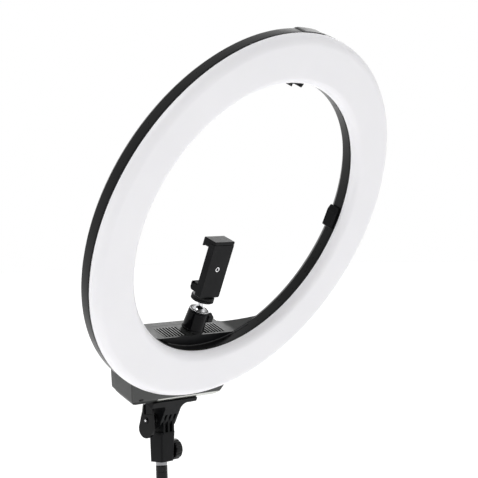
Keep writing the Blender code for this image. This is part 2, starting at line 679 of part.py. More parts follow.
def make_rear_cover(ring, mats):
    front = COVER_JOINT + GAP
    cover = prism("rear_cover", cover_outline(), BOX_BACK - front, 'Y', ring, (0, front, 0),
                  mats["grey"])
    cut(cover, prism("cover_cavity", cover_outline(2.5 * MM, 6 * MM), 6 * MM, 'Y', ring,
                     (0, BOX_BACK - 2.5 * MM - 6 * MM, 0)),
        slope_tool("cover_slope", ring))
    for number, (x, z) in enumerate(COVER_SCREWS, 1):
        join(cover, rod(f"cover_post_{number}", 4 * MM, (x * MM, front, z * MM), 6 * MM, 'Y', ring,
                        sides=12))
        cut(cover, rod(f"cover_screw_hole_{number}", 1.7 * MM, (x * MM, 38 * MM, z * MM),
                       20 * MM, 'Y', ring, sides=12))
        make_screw(f"cover_screw_{number}", (x * MM, BOX_BACK + GAP, z * MM), '-Y', ring,
                   mats["steel"], head=2.8 * MM, shank=14 * MM)
    for side in (-1, 1):
        cut(cover, rod(f"knob_hole_{side}", 4.2 * MM, (side * KNOB_X, 40 * MM, KNOB_Z), 20 * MM,
                       'Y', ring, sides=20))
    cut(cover,
        block("switch_hole", (-7.4 * MM, 40 * MM, ROCKER_Z - 10.7 * MM),
              (7.4 * MM, 60 * MM, ROCKER_Z + 10.7 * MM), ring),
        rod("inlet_hole", 5.8 * MM, (0, 40 * MM, INLET_Z), 20 * MM, 'Y', ring, sides=20))


def make_board(ring, mats):
    """Driver board with its transformer, capacitor and heat sink as one soldered piece."""
    front = 26.5 * MM
    board = block("driver_board", (-52 * MM, front, -243 * MM),
                  (52 * MM, front + 1.6 * MM, -188 * MM), ring, mats["board"])
    face = front + 1 * MM
    join(board,
         block("transformer", (-34 * MM, face, -240 * MM), (-14 * MM, front + 12 * MM, -222 * MM),
               ring),
         rod("capacitor", 5 * MM, (24 * MM, face, -230 * MM), 12 * MM, 'Y', ring, sides=16),
         block("heat_sink", (34 * MM, face, -240 * MM), (38 * MM, front + 11 * MM, -218 * MM),
               ring))


def make_dimmer(prefix, x, ring, mats):
    """Potentiometer behind the cover, with its turning shaft and knob."""
    body_back = 46.8 * MM
    case = block(f"{prefix}_potentiometer", (x - 8 * MM, 39 * MM, KNOB_Z - 8 * MM),
                 (x + 8 * MM, body_back, KNOB_Z + 8 * MM), ring, mats["steel"])
    join(case, rod(f"{prefix}_bushing", 3.9 * MM, (x, body_back - 1 * MM, KNOB_Z), 4.6 * MM, 'Y',
                   ring, sides=20))
    cut(case, rod(f"{prefix}_bushing_bore", 3.3 * MM, (x, 41 * MM, KNOB_Z), 20 * MM, 'Y', ring,
                  sides=20))
    rod(f"{prefix}_shaft", 3 * MM, (x, 41.5 * MM, KNOB_Z), 18.5 * MM, 'Y', ring, mats["steel"],
        sides=20)
    foot = BOX_BACK + 0.6 * MM
    knob = turned(f"{prefix}_knob",
                  [(0, KNOB_LENGTH), (KNOB_RADIUS - 1.6 * MM, KNOB_LENGTH),
                   (KNOB_RADIUS - 0.6 * MM, KNOB_LENGTH - 1 * MM), (KNOB_RADIUS, 0),
                   (4.3 * MM, 0), (4.3 * MM, 1.2 * MM), (3.3 * MM, 1.2 * MM),
                   (3.3 * MM, 9.8 * MM), (0, 9.8 * MM)],
                  'Y', ring, (x, foot, KNOB_Z), mats["gloss"], segments=36)
    cut(knob, block(f"{prefix}_pointer", (x - 0.6 * MM, foot + KNOB_LENGTH - 0.8 * MM,
                                          KNOB_Z + 2 * MM),
                    (x + 0.6 * MM, foot + KNOB_LENGTH + 2 * MM, KNOB_Z + 12 * MM), ring))


def make_switch(ring, mats):
    """Rocker switch: a snap-in frame and the rocker that tips inside it."""
    frame = block("switch_frame", (-7 * MM, 38 * MM, ROCKER_Z - 10.3 * MM),
                  (7 * MM, BOX_BACK + 1.8 * MM, ROCKER_Z + 10.3 * MM), ring, mats["gloss"])
    join(frame, block("switch_flange", (-8.4 * MM, BOX_BACK + GAP, ROCKER_Z - 11.7 * MM),
                      (8.4 * MM, BOX_BACK + 1.8 * MM, ROCKER_Z + 11.7 * MM), ring))
    cut(frame, block("switch_well", (-5.8 * MM, 43.6 * MM, ROCKER_Z - 8.9 * MM),
                     (5.8 * MM, 60 * MM, ROCKER_Z + 8.9 * MM), ring))
    pivot = frame_empty("rocker_axis", (0, ROCKER_PIVOT, ROCKER_Z), ROCKER_TILT, ring)
    side = [(-2 * MM, -7.6 * MM), (-2 * MM, 7.6 * MM), (4.6 * MM, 8 * MM), (3.4 * MM, 0),
            (4.6 * MM, -8 * MM)]
    prism("switch_rocker", side, 10.8 * MM, 'X', pivot, (-5.4 * MM, 0, 0), mats["gloss"])


def make_inlet(ring, mats):
    """Barrel socket for the mains adapter's plug, with its centre pin."""
    turned("power_inlet",
           [(0, -10 * MM), (5.4 * MM, -10 * MM), (5.4 * MM, GAP), (6.8 * MM, GAP),
            (6.8 * MM, 1.5 * MM), (2.8 * MM, 1.5 * MM), (2.8 * MM, -9 * MM), (1 * MM, -9 * MM),
            (1 * MM, 0.5 * MM), (0, 0.5 * MM)][::-1],
           'Y', ring, (0, BOX_BACK, INLET_Z), mats["gloss"], segments=24)


# ---------------------------------------------------------------- ball head
def make_ball_head(ring, mats):
    base = BOSS_TOP + GAP
    centre = BALL_Z - base
    rim = centre + 1 * MM
    cup = BALL_RADIUS + 0.4 * MM
    body = turned("ball_head",
                  [(12.8 * MM, rim), (14 * MM, 2.6 * MM), (14.6 * MM, 2 * MM), (14.6 * MM, 0),
                   (3.4 * MM, 0), (3.4 * MM, 8.5 * MM), (cup, centre - 5 * MM), (cup, rim)],
                  'Z', ring, (BALL_X, BALL_Y, base), mats["gloss"], segments=40, closed=True)
    cut(body, rod("ball_lock_hole", 2.3 * MM, (BALL_X + 8 * MM, BALL_Y, base + 13.5 * MM),
                  10 * MM, 'X', ring, sides=16))
    turned("ball_head_screw", [(0, 15 * MM), (3.1 * MM, 15 * MM), (3.1 * MM, 0), (6 * MM, 0),
                               (6 * MM, -3.4 * MM), (0, -3.4 * MM)],
           'Z', ring, (BALL_X, BALL_Y, SHELF_Z - BOX_WALL - GAP), mats["steel"], segments=20)
    top = 4.5 * MM
    turned("ball_collar", [(12.2 * MM, top), (12.8 * MM, top - 0.6 * MM), (12.8 * MM, 1.3 * MM),
                           (cup, 1.3 * MM), (8.4 * MM, top)],
           'Z', ring, (BALL_X, BALL_Y, BALL_Z), mats["chrome"], segments=40, closed=True)
    lock = Vector((BALL_X, BALL_Y, base + 13.5 * MM))
    rod("ball_lock_screw", 2 * MM, lock + Vector((10 * MM, 0, 0)), 10.5 * MM, 'X', ring,
        mats["steel"], sides=16)
    turned("ball_lock_knob",
           [(0, 26 * MM), (5.9 * MM, 26 * MM), (6.8 * MM, 25.1 * MM), (6.8 * MM, 17.6 * MM),
            (6 * MM, 16.8 * MM), (4 * MM, 16.4 * MM), (4 * MM, 14.8 * MM), (2.3 * MM, 14.8 * MM),
            (2.3 * MM, 21 * MM), (0, 21 * MM)],
           'X', ring, lock, mats["black"], segments=28)


def make_ball_stem(ball, mats):
    """Polished ball with its neck and the threaded end that holds the clamp."""
    neck_angle = math.asin(STEM_RADIUS / BALL_RADIUS)
    steps = 11
    profile = [(0, 33 * MM), (STEM_RADIUS, 33 * MM)]
    for i in range(steps + 1):
        angle = neck_angle + (math.pi - neck_angle) * i / steps
        radius = BALL_RADIUS * math.sin(angle) if i < steps else 0
        profile.append((radius, BALL_RADIUS * math.cos(angle)))
    turned("ball_stem", profile, 'Z', ball, (0, 0, 0), mats["chrome"], segments=32)


def make_lock_disc(ball, mats):
    """Knurled disc that jams the clamp on the stem's thread."""
    ridges = 36
    outline = []
    for i in range(2 * ridges):
        radius = (14.6 if i % 2 else 14.0) * MM
        angle = math.pi * i / ridges
        outline.append((radius * math.cos(angle), radius * math.sin(angle)))
    disc = prism("clamp_lock_disc", outline, 7 * MM, 'Z', ball, (0, 0, 16 * MM), mats["black"])
    cut(disc, rod("lock_disc_bore", 3.3 * MM, (0, 0, 10 * MM), 20 * MM, 'Z', ball, sides=20))


# ---------------------------------------------------------------- phone clamp
def clamp_side_outline():
    """Side view of the fixed half: upright body, lower jaw with its lip, threaded boss."""
    return [(CLAMP_FRONT, CLAMP_FOOT), (CLAMP_REAR, CLAMP_FOOT), (CLAMP_REAR, 28.5 * MM),
            (JAW_REACH - 3.6 * MM, 28.5 * MM), (JAW_REACH - 1.1 * MM, 29.5 * MM),
            (JAW_REACH, 32 * MM), (JAW_REACH, 38.4 * MM), (JAW_REACH - 0.6 * MM, 39.6 * MM),
            (JAW_REACH - 1.6 * MM, 39.5 * MM),
            (JAW_REACH - 1.6 * MM, LOWER_JAW_TOP), (CLAMP_REAR, LOWER_JAW_TOP),
            (CLAMP_REAR, CLAMP_HEAD), (CLAMP_FRONT, CLAMP_HEAD)]


def make_clamp(ball, mats):
    half = CLAMP_WIDTH / 2
    body = prism("clamp_body", clamp_side_outline(), CLAMP_WIDTH, 'X', ball, (-half, 0, 0),
                 mats["black"])
    corner = 3.5 * MM
    front_view = mirrored(arc((half + GAP - corner, CLAMP_FOOT - 0.4 * MM + corner), corner,
                              -90, 0, 4) + [(half + GAP, CLAMP_HEAD + 10 * MM)])
    add_boolean(body, prism("clamp_outline", front_view, 40 * MM, 'Y', ball, (0, -20 * MM, 0)),
                'INTERSECT')
    add_bevel(body, 1.2 * MM, segments=2, angle=50)
    join(body, rod("clamp_boss", 8 * MM, (0, 0, CLAMP_FOOT), 8 * MM, 'Z', ball, sides=24))
    cut(body, rod("clamp_thread", 3.3 * MM, (0, 0, 20 * MM), 13.5 * MM, 'Z', ball, sides=20))
    for side in (-1, 1):
        cut(body, rod(f"guide_bore_{side}", ROD_RADIUS + GAP, (side * ROD_X, ROD_Y, 38 * MM),
                      70 * MM, 'Z', ball, sides=14))
        rod("clamp_rod_left" if side < 0 else "clamp_rod_right", ROD_RADIUS,
            (side * ROD_X, ROD_Y, 40 * MM), 56 * MM, 'Z', ball, mats["steel"], sides=14)
    insert_z = 61.5 * MM
    cut(body,
        rod("spring_bore", 2.3 * MM, (0, -3.9 * MM, 40 * MM), 70 * MM, 'Z', ball, sides=14),
        rod("insert_hole", 3.6 * MM, (0, CLAMP_FRONT - 5 * MM, insert_z), 8.8 * MM, 'Y', ball,
            sides=20))
    turned("clamp_insert", [(3.3 * MM, 0), (3.3 * MM, -3.2 * MM), (2.4 * MM, -3.2 * MM),
                            (2.4 * MM, 0)],
           '-Y', ball, (0, CLAMP_FRONT + 0.2 * MM, insert_z), mats["brass"], segments=20,
           closed=True)
    make_spring(ball, mats["steel"])
    block("lower_pad", (-14.5 * MM, CLAMP_REAR + GAP, LOWER_JAW_TOP + GAP),
          (14.5 * MM, JAW_REACH - 2 * MM, LOWER_JAW_TOP + 1.9 * MM), ball, mats["rubber"])


def make_spring(ball, mat):
    """Tension spring between the body's foot and the sliding jaw."""
    turns, steps = 8, 8
    coil, wire = 1.65 * MM, 0.4 * MM
    low, high = 41 * MM, 92 * MM
    curve = bpy.data.curves.new("clamp_spring", 'CURVE')
    curve.dimensions = '3D'
    curve.bevel_depth = wire
    curve.bevel_resolution = 1
    curve.use_fill_caps = True
    spline = curve.splines.new('POLY')
    count = turns * steps + 1
    spline.points.add(count - 1)
    for i, point in enumerate(spline.points):
        angle = 2 * math.pi * i / steps
        height = low + (high - low) * i / (count - 1)
        point.co = (coil * math.cos(angle), coil * math.sin(angle), height, 1)
    curve.materials.append(mat)
    spring = bpy.data.objects.new("clamp_spring", curve)
    weld = spring.modifiers.new("Weld", 'WELD')
    weld.merge_threshold = 0.00001
    bpy.data.collections[PARTS].objects.link(spring)
    spring.parent = ball
    spring.location = (0, -3.9 * MM, 0)


def make_upper_jaw(ball, mats):
    """Sliding jaw: a plate over the body's head, a deep block behind it and a small lip."""
    half = CLAMP_WIDTH / 2
    side = [(CLAMP_FRONT, CLAMP_HEAD + GAP), (CLAMP_REAR + GAP, CLAMP_HEAD + GAP),
            (CLAMP_REAR + GAP, 89 * MM), (JAW_REACH - 1.6 * MM, 89 * MM),
            (JAW_REACH - 1.6 * MM, 86.4 * MM), (JAW_REACH, 86.4 * MM),
            (JAW_REACH, UPPER_JAW_TOP), (CLAMP_FRONT, UPPER_JAW_TOP)]
    jaw = prism("upper_jaw", side, CLAMP_WIDTH, 'X', ball, (-half, 0, 0), mats["black"])
    add_bevel(jaw, 1 * MM, segments=2, angle=50)
    for sign in (-1, 1):
        cut(jaw, rod(f"jaw_rod_hole_{sign}", ROD_RADIUS + GAP, (sign * ROD_X, ROD_Y, 80 * MM),
                     16.3 * MM, 'Z', ball, sides=14))
    block("upper_pad", (-14.5 * MM, CLAMP_REAR + 2 * GAP, 87.1 * MM),
          (14.5 * MM, JAW_REACH - 2 * MM, 89 * MM - GAP), ball, mats["rubber"])


# ---------------------------------------------------------------- build
def main():
    clear_scene()
    mats = {
        "black": material("black_plastic", (0.022, 0.023, 0.024), 0.45),
        "grey": material("box_plastic", (0.045, 0.048, 0.045), 0.5),
        "gloss": material("gloss_black", (0.012, 0.012, 0.013), 0.16),
        "tube": material("black_tube", (0.02, 0.02, 0.02), 0.3),
        "opal": material("opal_diffuser", (0.9, 0.9, 0.93), 0.35),
        "chrome": material("chrome", (0.8, 0.8, 0.82), 0.08, 1.0),
        "steel": material("steel", (0.55, 0.55, 0.56), 0.3, 1.0),
        "brass": material("brass", (0.78, 0.62, 0.36), 0.3, 1.0),
        "board": material("circuit_board", (0.85, 0.86, 0.84), 0.5),
        "rubber": material("rubber", (0.02, 0.02, 0.02), 0.8),
    }
    tilt = frame_empty("tilt_axis", (0, HINGE_Y, HINGE_Z), HEAD_TILT)
    ring = frame_empty("ring_frame", -HINGE_IN_RING, parent=tilt)
    ball = frame_empty("ball_frame", (BALL_X, BALL_Y, BALL_Z), CLAMP_LEAN, ring)
    make_stand(mats)
    make_socket(mats)
    make_bracket(ring, mats)
    make_tilt_bolt(tilt, mats)
    make_lever(mats)
    make_ring(ring, mats)
    make_rim_blocks(ring, mats)
    make_top_bracket(ring, mats)
    make_control_box(ring, mats)
    make_rear_cover(ring, mats)
    make_board(ring, mats)
    make_dimmer("brightness", KNOB_X, ring, mats)
    make_dimmer("colour", -KNOB_X, ring, mats)
    make_switch(ring, mats)
    make_inlet(ring, mats)
    make_ball_head(ring, mats)
    make_ball_stem(ball, mats)
    make_lock_disc(ball, mats)
    make_clamp(ball, mats)
    make_upper_jaw(ball, mats)


main()
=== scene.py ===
import math

import bmesh
import bpy
from mathutils import Matrix, Vector


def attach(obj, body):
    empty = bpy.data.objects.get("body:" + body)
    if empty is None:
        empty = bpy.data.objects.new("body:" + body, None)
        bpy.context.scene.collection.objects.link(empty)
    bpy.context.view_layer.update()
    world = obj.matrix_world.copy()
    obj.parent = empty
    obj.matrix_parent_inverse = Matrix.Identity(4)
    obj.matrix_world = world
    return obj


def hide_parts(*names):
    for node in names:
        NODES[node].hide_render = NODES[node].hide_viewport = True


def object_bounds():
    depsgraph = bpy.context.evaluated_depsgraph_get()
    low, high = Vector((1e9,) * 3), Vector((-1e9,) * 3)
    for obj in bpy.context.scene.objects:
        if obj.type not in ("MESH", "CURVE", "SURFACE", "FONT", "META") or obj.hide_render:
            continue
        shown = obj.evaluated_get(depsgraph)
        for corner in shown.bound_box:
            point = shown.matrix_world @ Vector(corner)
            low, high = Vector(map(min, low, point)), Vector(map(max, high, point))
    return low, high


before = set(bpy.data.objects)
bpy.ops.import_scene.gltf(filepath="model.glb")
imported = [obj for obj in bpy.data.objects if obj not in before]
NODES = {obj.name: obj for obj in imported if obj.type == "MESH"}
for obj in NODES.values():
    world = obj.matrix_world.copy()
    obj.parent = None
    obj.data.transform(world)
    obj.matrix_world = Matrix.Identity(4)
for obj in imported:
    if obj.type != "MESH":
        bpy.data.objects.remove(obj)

cad_box = [list(v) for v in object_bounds()]
MM = 0.001

# ---------------------------------------------------------------- places
# The head leans forward over the stand's top; the clamp leans a little less.
# Ring frame: X to the ring's right, Y to its back, Z up in its plane, origin at its centre.
HEAD_TILT = math.radians(27.5)
CLAMP_LEAN = math.radians(-3.5)
ROCKER_LEAN = math.radians(8)
RING_CENTRE = (0, -0.15663397, 0.42640029)
RING_IN_WORLD = Matrix.Translation(RING_CENTRE) @ Matrix.Rotation(HEAD_TILT, 4, 'X')
BALL_CENTRE = (3 * MM, 26 * MM, -139 * MM)
CLAMP_IN_WORLD = (RING_IN_WORLD @ Matrix.Translation(BALL_CENTRE)
                  @ Matrix.Rotation(CLAMP_LEAN, 4, 'X'))
ROCKER_IN_WORLD = (RING_IN_WORLD @ Matrix.Translation((0, 47.5 * MM, -200 * MM))
                   @ Matrix.Rotation(ROCKER_LEAN, 4, 'X'))
WORLD = Matrix.Identity(4)
HINGE_Y, HINGE_Z = -3 * MM, 180 * MM
SOCKET_KNOB_Z = 138 * MM

# ---------------------------------------------------------------- driving sizes
RING_OUTER = 240 * MM
RING_INNER = 178.8 * MM
HOUSING_DEPTH = 20 * MM
HOUSING_WALL = 2.2 * MM
CHAMFER = 5.6 * MM
DIFFUSER_RISE = 11.3 * MM
DIFFUSER_OUTER_ROUND = 12.6 * MM
DIFFUSER_INNER_ROUND = 10.8 * MM
DIFFUSER_WALL = 2 * MM
BLOCK_PROUD = 6.1 * MM

BOX_FRONT = 10 * MM
BOX_CHAMFER_TOP = -250.5 * MM
BOX_CORNER = (68.3 * MM, -242.5 * MM)
SHELF_Z = -164.5 * MM
VENT_FIRST, VENT_PITCH, VENT_COUNT = 19 * MM, 5.3 * MM, 7
VENT_MIDDLE = 26 * MM
COVER_BACK = 50 * MM
DIMMER_X, DIMMER_Z = 38 * MM, -205 * MM
DIMMERS = ((1, "brightness"), (-1, "colour"))
INLET_Z = -236 * MM

TUBE_LENGTH = 120 * MM
TUBE_RADIUS = 7.4 * MM
TUBE_BORE = 6.2 * MM
BALL_RADIUS = 9 * MM
NECK_RADIUS = 3 * MM


# ---------------------------------------------------------------- materials
NOISE_SPAN = (0.3, 0.7)      # noise values between which colours and roughness run


class Shader:
    """Small helper for building one node material."""

    def __init__(self, name):
        self.material = bpy.data.materials.new(name)
        self.material.use_nodes = True
        self.tree = self.material.node_tree
        self.principled = self.tree.nodes["Principled BSDF"]
        self.coordinates = self.tree.nodes.new("ShaderNodeTexCoord")
        self.height = None

    def set(self, **values):
        """Set plain inputs of the shader by their short names."""
        names = {"metallic": "Metallic", "specular": "Specular IOR Level", "coat": "Coat Weight",
                 "coat_roughness": "Coat Roughness", "subsurface": "Subsurface Weight",
                 "radius": "Subsurface Radius", "scale": "Subsurface Scale"}
        for key, value in values.items():
            self.principled.inputs[names[key]].default_value = value
        return self

    def noise(self, scale, detail=4.0, roughness=0.55, stretch=(1, 1, 1)):
        """Noise in the object's own metres."""
        mapping = self.tree.nodes.new("ShaderNodeMapping")
        mapping.inputs["Scale"].default_value = stretch
        noise = self.tree.nodes.new("ShaderNodeTexNoise")
        noise.inputs["Scale"].default_value = scale
        noise.inputs["Detail"].default_value = detail
        noise.inputs["Roughness"].default_value = roughness
        self.tree.links.new(self.coordinates.outputs["Object"], mapping.inputs["Vector"])
        self.tree.links.new(mapping.outputs["Vector"], noise.inputs["Vector"])
        return noise.outputs["Fac"]

    def mix(self, value, first, second):
        """Base colour between two tones."""
        ramp = self.tree.nodes.new("ShaderNodeValToRGB")
        for element, position, colour in zip(ramp.color_ramp.elements, NOISE_SPAN,
                                             (first, second)):
            element.position = position
            element.color = (*colour, 1)
        self.tree.links.new(value, ramp.inputs["Fac"])
        self.tree.links.new(ramp.outputs["Color"], self.principled.inputs["Base Color"])
        return self

    def rough(self, value, low, high):
        """Roughness between two values."""
        node = self.tree.nodes.new("ShaderNodeMapRange")
        for socket, number in zip(("From Min", "From Max", "To Min", "To Max"),
                                  (*NOISE_SPAN, low, high)):
            node.inputs[socket].default_value = number
        self.tree.links.new(value, node.inputs["Value"])
        self.tree.links.new(node.outputs["Result"], self.principled.inputs["Roughness"])
        return self

    def bump(self, value, depth, strength=1.0):
        """Stack one more bump on those already there."""
        node = self.tree.nodes.new("ShaderNodeBump")
        node.inputs["Strength"].default_value = strength
        node.inputs["Distance"].default_value = depth
        self.tree.links.new(value, node.inputs["Height"])
        if self.height is not None:
            self.tree.links.new(self.height, node.inputs["Normal"])
        self.height = node.outputs["Normal"]
        self.tree.links.new(self.height, self.principled.inputs["Normal"])
        return self


def moulded(name, dark, light, rough, grain=2600, depth=0.00004, strength=0.5, **settings):
    """Moulded plastic: slow mottling in colour and gloss over a fine spark-eroded grain."""
    shader = Shader(name)
    slow = shader.noise(45, 3)
    shader.mix(slow, dark, light)
    shader.rough(shader.noise(160, 5, 0.6), *rough)
    shader.bump(shader.noise(grain, 2, 0.5), depth, strength)
    shader.bump(shader.noise(28, 2, 0.4), 0.00025, 0.25)
    return shader.set(**settings).material


def metal(name, dark, light, rough, stretch=(1, 1, 1), scale=900):
    """Plated or turned metal: cloudy tone, fine marks that run along the stretch."""
    shader = Shader(name)
    shader.mix(shader.noise(90, 4), dark, light)
    shader.rough(shader.noise(scale, 4, 0.6, stretch), *rough)
    shader.bump(shader.noise(scale, 3, 0.5, stretch), 0.00001, 0.4)
    return shader.set(metallic=1.0).material


def opal(name):
    """Milky acrylic with a faint lavender cast and a barely visible moulded ripple."""
    shader = Shader(name)
    shader.mix(shader.noise(9, 2), (0.885, 0.878, 0.915), (0.91, 0.903, 0.94))
    shader.rough(shader.noise(60, 4), 0.30, 0.38)
    shader.bump(shader.noise(1500, 2), 0.00001, 0.3)
    shader.bump(shader.noise(14, 2), 0.0003, 0.15)
    return shader.set(subsurface=0.25, radius=(0.006, 0.006, 0.007), scale=1.0,
                      specular=0.35).material


MATERIAL = {
    "black_plastic": moulded("black_plastic", (0.004, 0.0043, 0.005), (0.008, 0.0083, 0.009),
                             (0.28, 0.38), specular=0.09),
    "housing": moulded("housing", (0.005, 0.0053, 0.0055), (0.008, 0.0082, 0.0084),
                       (0.26, 0.34), grain=1900, depth=0.00001, specular=0.16),
    "box_plastic": moulded("box_plastic", (0.018, 0.0195, 0.0185), (0.026, 0.0275, 0.026),
                           (0.28, 0.38), grain=1700, depth=0.00006, specular=0.42),
    "gloss_black": moulded("gloss_black", (0.002, 0.002, 0.0025), (0.004, 0.004, 0.0045),
                           (0.06, 0.12), grain=900, depth=0.000004, specular=0.08,
                           coat=0.03, coat_roughness=0.04),
    "knob_plastic": moulded("knob_plastic", (0.002, 0.0021, 0.0024), (0.004, 0.0041, 0.0044),
                            (0.12, 0.20), grain=1500, depth=0.00001, specular=0.16),
    "black_tube": moulded("black_tube", (0.004, 0.004, 0.0045), (0.007, 0.007, 0.0075),
                          (0.16, 0.26), grain=1200, depth=0.00001, specular=0.2),
    "opal_diffuser": opal("opal_diffuser"),
    "chrome": metal("chrome", (0.62, 0.62, 0.64), (0.72, 0.72, 0.73), (0.04, 0.09)),
    # near-black metal for the insert's thread: painted shade inside its bore
    "bore_painted_shade": metal("bore_painted_shade", (0.030, 0.030, 0.034), (0.050, 0.050, 0.054),
                         (0.06, 0.12)),
    # lighter grey for the rim bead: painted highlight
    "bead_painted_highlight": moulded("bead_painted_highlight", (0.05, 0.052, 0.053), (0.08, 0.082, 0.083),
                          (0.3, 0.4), specular=0.3),
    "ferrule": metal("ferrule", (0.20, 0.20, 0.21), (0.30, 0.30, 0.31), (0.08, 0.14)),
    # very bright metal; on the collar's wire rings and the lever cap's rivet it is a painted
    # highlight
    "bright_metal_and_highlight": metal("bright_metal_and_highlight", (0.82, 0.82, 0.84), (0.92, 0.92, 0.93), (0.05, 0.10)),
    # satin metal; its brightness on the lever's bead is a painted highlight
    "satin_trim_and_highlight": metal("satin_trim_and_highlight", (0.52, 0.53, 0.50), (0.62, 0.63, 0.60), (0.24, 0.36),
                        stretch=(8, 1, 1), scale=500),
    # near-black sheets over the vent slots: painted shade
    "vent_painted_shade": moulded("vent_painted_shade", (0.0012, 0.0012, 0.0013), (0.0024, 0.0024, 0.0025),
                           (0.7, 0.85), grain=1200, depth=0.0001, specular=0.05),
    "steel": metal("steel", (0.36, 0.36, 0.37), (0.50, 0.50, 0.50), (0.22, 0.38),
                   stretch=(1, 1, 6)),
    "brass": metal("brass", (0.66, 0.64, 0.60), (0.80, 0.78, 0.74), (0.10, 0.22)),
    "circuit_board": moulded("circuit_board", (0.30, 0.32, 0.30), (0.46, 0.47, 0.44),
                             (0.30, 0.45), grain=700, depth=0.00005),
    "rubber": moulded("rubber", (0.014, 0.014, 0.015), (0.024, 0.024, 0.025), (0.62, 0.78),
                      grain=1400, depth=0.0001),
    "deep_black": moulded("deep_black", (0.0014, 0.0015, 0.0018), (0.0026, 0.0027, 0.003),
                          (0.30, 0.42), specular=0.12),
    # light grey on the vent ribs: painted highlight
    "rib_painted_highlight": moulded("rib_painted_highlight", (0.26, 0.265, 0.26), (0.33, 0.335, 0.33), (0.3, 0.4),
                        grain=1400, depth=0.00003),
    "paint_mark": moulded("paint_mark", (0.55, 0.55, 0.54), (0.66, 0.66, 0.64), (0.45, 0.55)),
}


# ---------------------------------------------------------------- mesh helpers
def link(name, bm, place, material, smooth=35):
    """Make the piece at its place; edges sharper than smooth degrees stay sharp."""
    mesh = bpy.data.meshes.new(name)
    bm.to_mesh(mesh)
    bm.free()
    obj = bpy.data.objects.new(name, mesh)
    bpy.context.scene.collection.objects.link(obj)
    mesh.transform(place)
    mesh.materials.append(MATERIAL[material])
    mesh.shade_smooth()
    mesh.set_sharp_from_angle(angle=math.radians(smooth))
    return obj


def evaluated_mesh(obj):
    """A new mesh of the object as its modifiers leave it."""
    graph = bpy.context.evaluated_depsgraph_get()
    return bpy.data.meshes.new_from_object(obj.evaluated_get(graph))


def settle(obj, body, nodes=()):
    """Let the piece ride on its body and stand for its CAD nodes."""
    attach(obj, body)
    if nodes:
        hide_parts(*nodes)
    return obj


def lathe_bm(profile, segments, closed=False, wave=None):
    """Turn (radius, height) points about Z; wave(angle, radius, height) may change a radius."""
    bm = bmesh.new()
    rows = []
    for radius, height in profile:
        if radius < 1e-7:
            rows.append([bm.verts.new((0, 0, height))])
            continue
        row = []
        for i in range(segments):
            angle = 2 * math.pi * i / segments
            r = wave(angle, radius, height) if wave else radius
            row.append(bm.verts.new((r * math.cos(angle), r * math.sin(angle), height)))
        rows.append(row)
    pairs = list(zip(rows, rows[1:])) + ([(rows[-1], rows[0])] if closed else [])
    for a, b in pairs:
        for i in range(segments):
            j = (i + 1) % segments
            if len(a) == 1 and len(b) == 1:
                continue
            if len(a) == 1:
                bm.faces.new((a[0], b[i], b[j]))
            elif len(b) == 1:
                bm.faces.new((a[i], b[0], a[j]))
            else:
                bm.faces.new((a[i], b[i], b[j], a[j]))
    bmesh.ops.recalc_face_normals(bm, faces=bm.faces)
    return bm


def loft_bm(rings, closed=False):
    """Skin a row of equal point rings; an open loft is capped at both ends."""
    bm = bmesh.new()
    rings = [[bm.verts.new(point) for point in ring] for ring in rings]
    count = len(rings[0])
    for a, b in list(zip(rings, rings[1:])) + ([(rings[-1], rings[0])] if closed else []):
        for k in range(count):
            m = (k + 1) % count
            bm.faces.new((a[k], a[m], b[m], b[k]))
    if not closed:
        bm.faces.new(rings[0][::-1])
        bm.faces.new(rings[-1])
    bmesh.ops.recalc_face_normals(bm, faces=bm.faces)
    return bm


def soft_profile(points, width, closed=False):
    """Round the corners of a turned profile."""
    out = []
    steps = 3
    count = len(points)
    for i, p in enumerate(points):
        if not closed and i in (0, count - 1):
            out.append(p)
            continue
        a, b = Vector(points[i - 1]), Vector(points[(i + 1) % count])
        c = Vector(p)
        back, ahead = a - c, b - c
        w = min(width, back.length * 0.45, ahead.length * 0.45)
        if back.length < 1e-9 or ahead.length < 1e-9 or back.angle(ahead) > math.radians(172):
            out.append(p)
            continue
        start, end = c + back.normalized() * w, c + ahead.normalized() * w
        for k in range(steps + 1):
            t = k / steps
            q = start * (1 - t) ** 2 + c * 2 * t * (1 - t) + end * t * t
            out.append((q.x, q.y))
    return out


def turned(name, profile, place, material, segments=96, closed=False, wave=None, round_to=0.0,
           smooth=35):
    """A turned piece with its corners rounded to a width."""
    if round_to:
        profile = soft_profile(profile, round_to, closed=closed)
    return link(name, lathe_bm(profile, segments, closed, wave), place, material, smooth)


def outline_solid(points, low, high, edge):
    """A prism over a flat outline along Z, with its end edges rounded."""
    bm = bmesh.new()
    verts = [bm.verts.new((x, y, low)) for x, y in points]
    face = bm.faces.new(verts)
    made = bmesh.ops.extrude_face_region(bm, geom=[face])
    top = [g for g in made["geom"] if isinstance(g, bmesh.types.BMVert)]
    bmesh.ops.translate(bm, vec=(0, 0, high - low), verts=top)
    bmesh.ops.recalc_face_normals(bm, faces=bm.faces)
    rims = [e for e in bm.edges if abs(e.verts[0].co.z - e.verts[1].co.z) < 1e-9]
    bmesh.ops.bevel(bm, geom=rims, offset=edge, segments=2, affect='EDGES', profile=0.5)
    return bm


def round_box(size, edge, steps):
    """A bar with all its edges rounded."""
    bm = bmesh.new()
    bmesh.ops.create_cube(bm, size=1)
    bmesh.ops.scale(bm, vec=size, verts=bm.verts)
    bmesh.ops.bevel(bm, geom=bm.edges[:], offset=edge, segments=steps, affect='EDGES',
                    profile=0.5)
    return bm


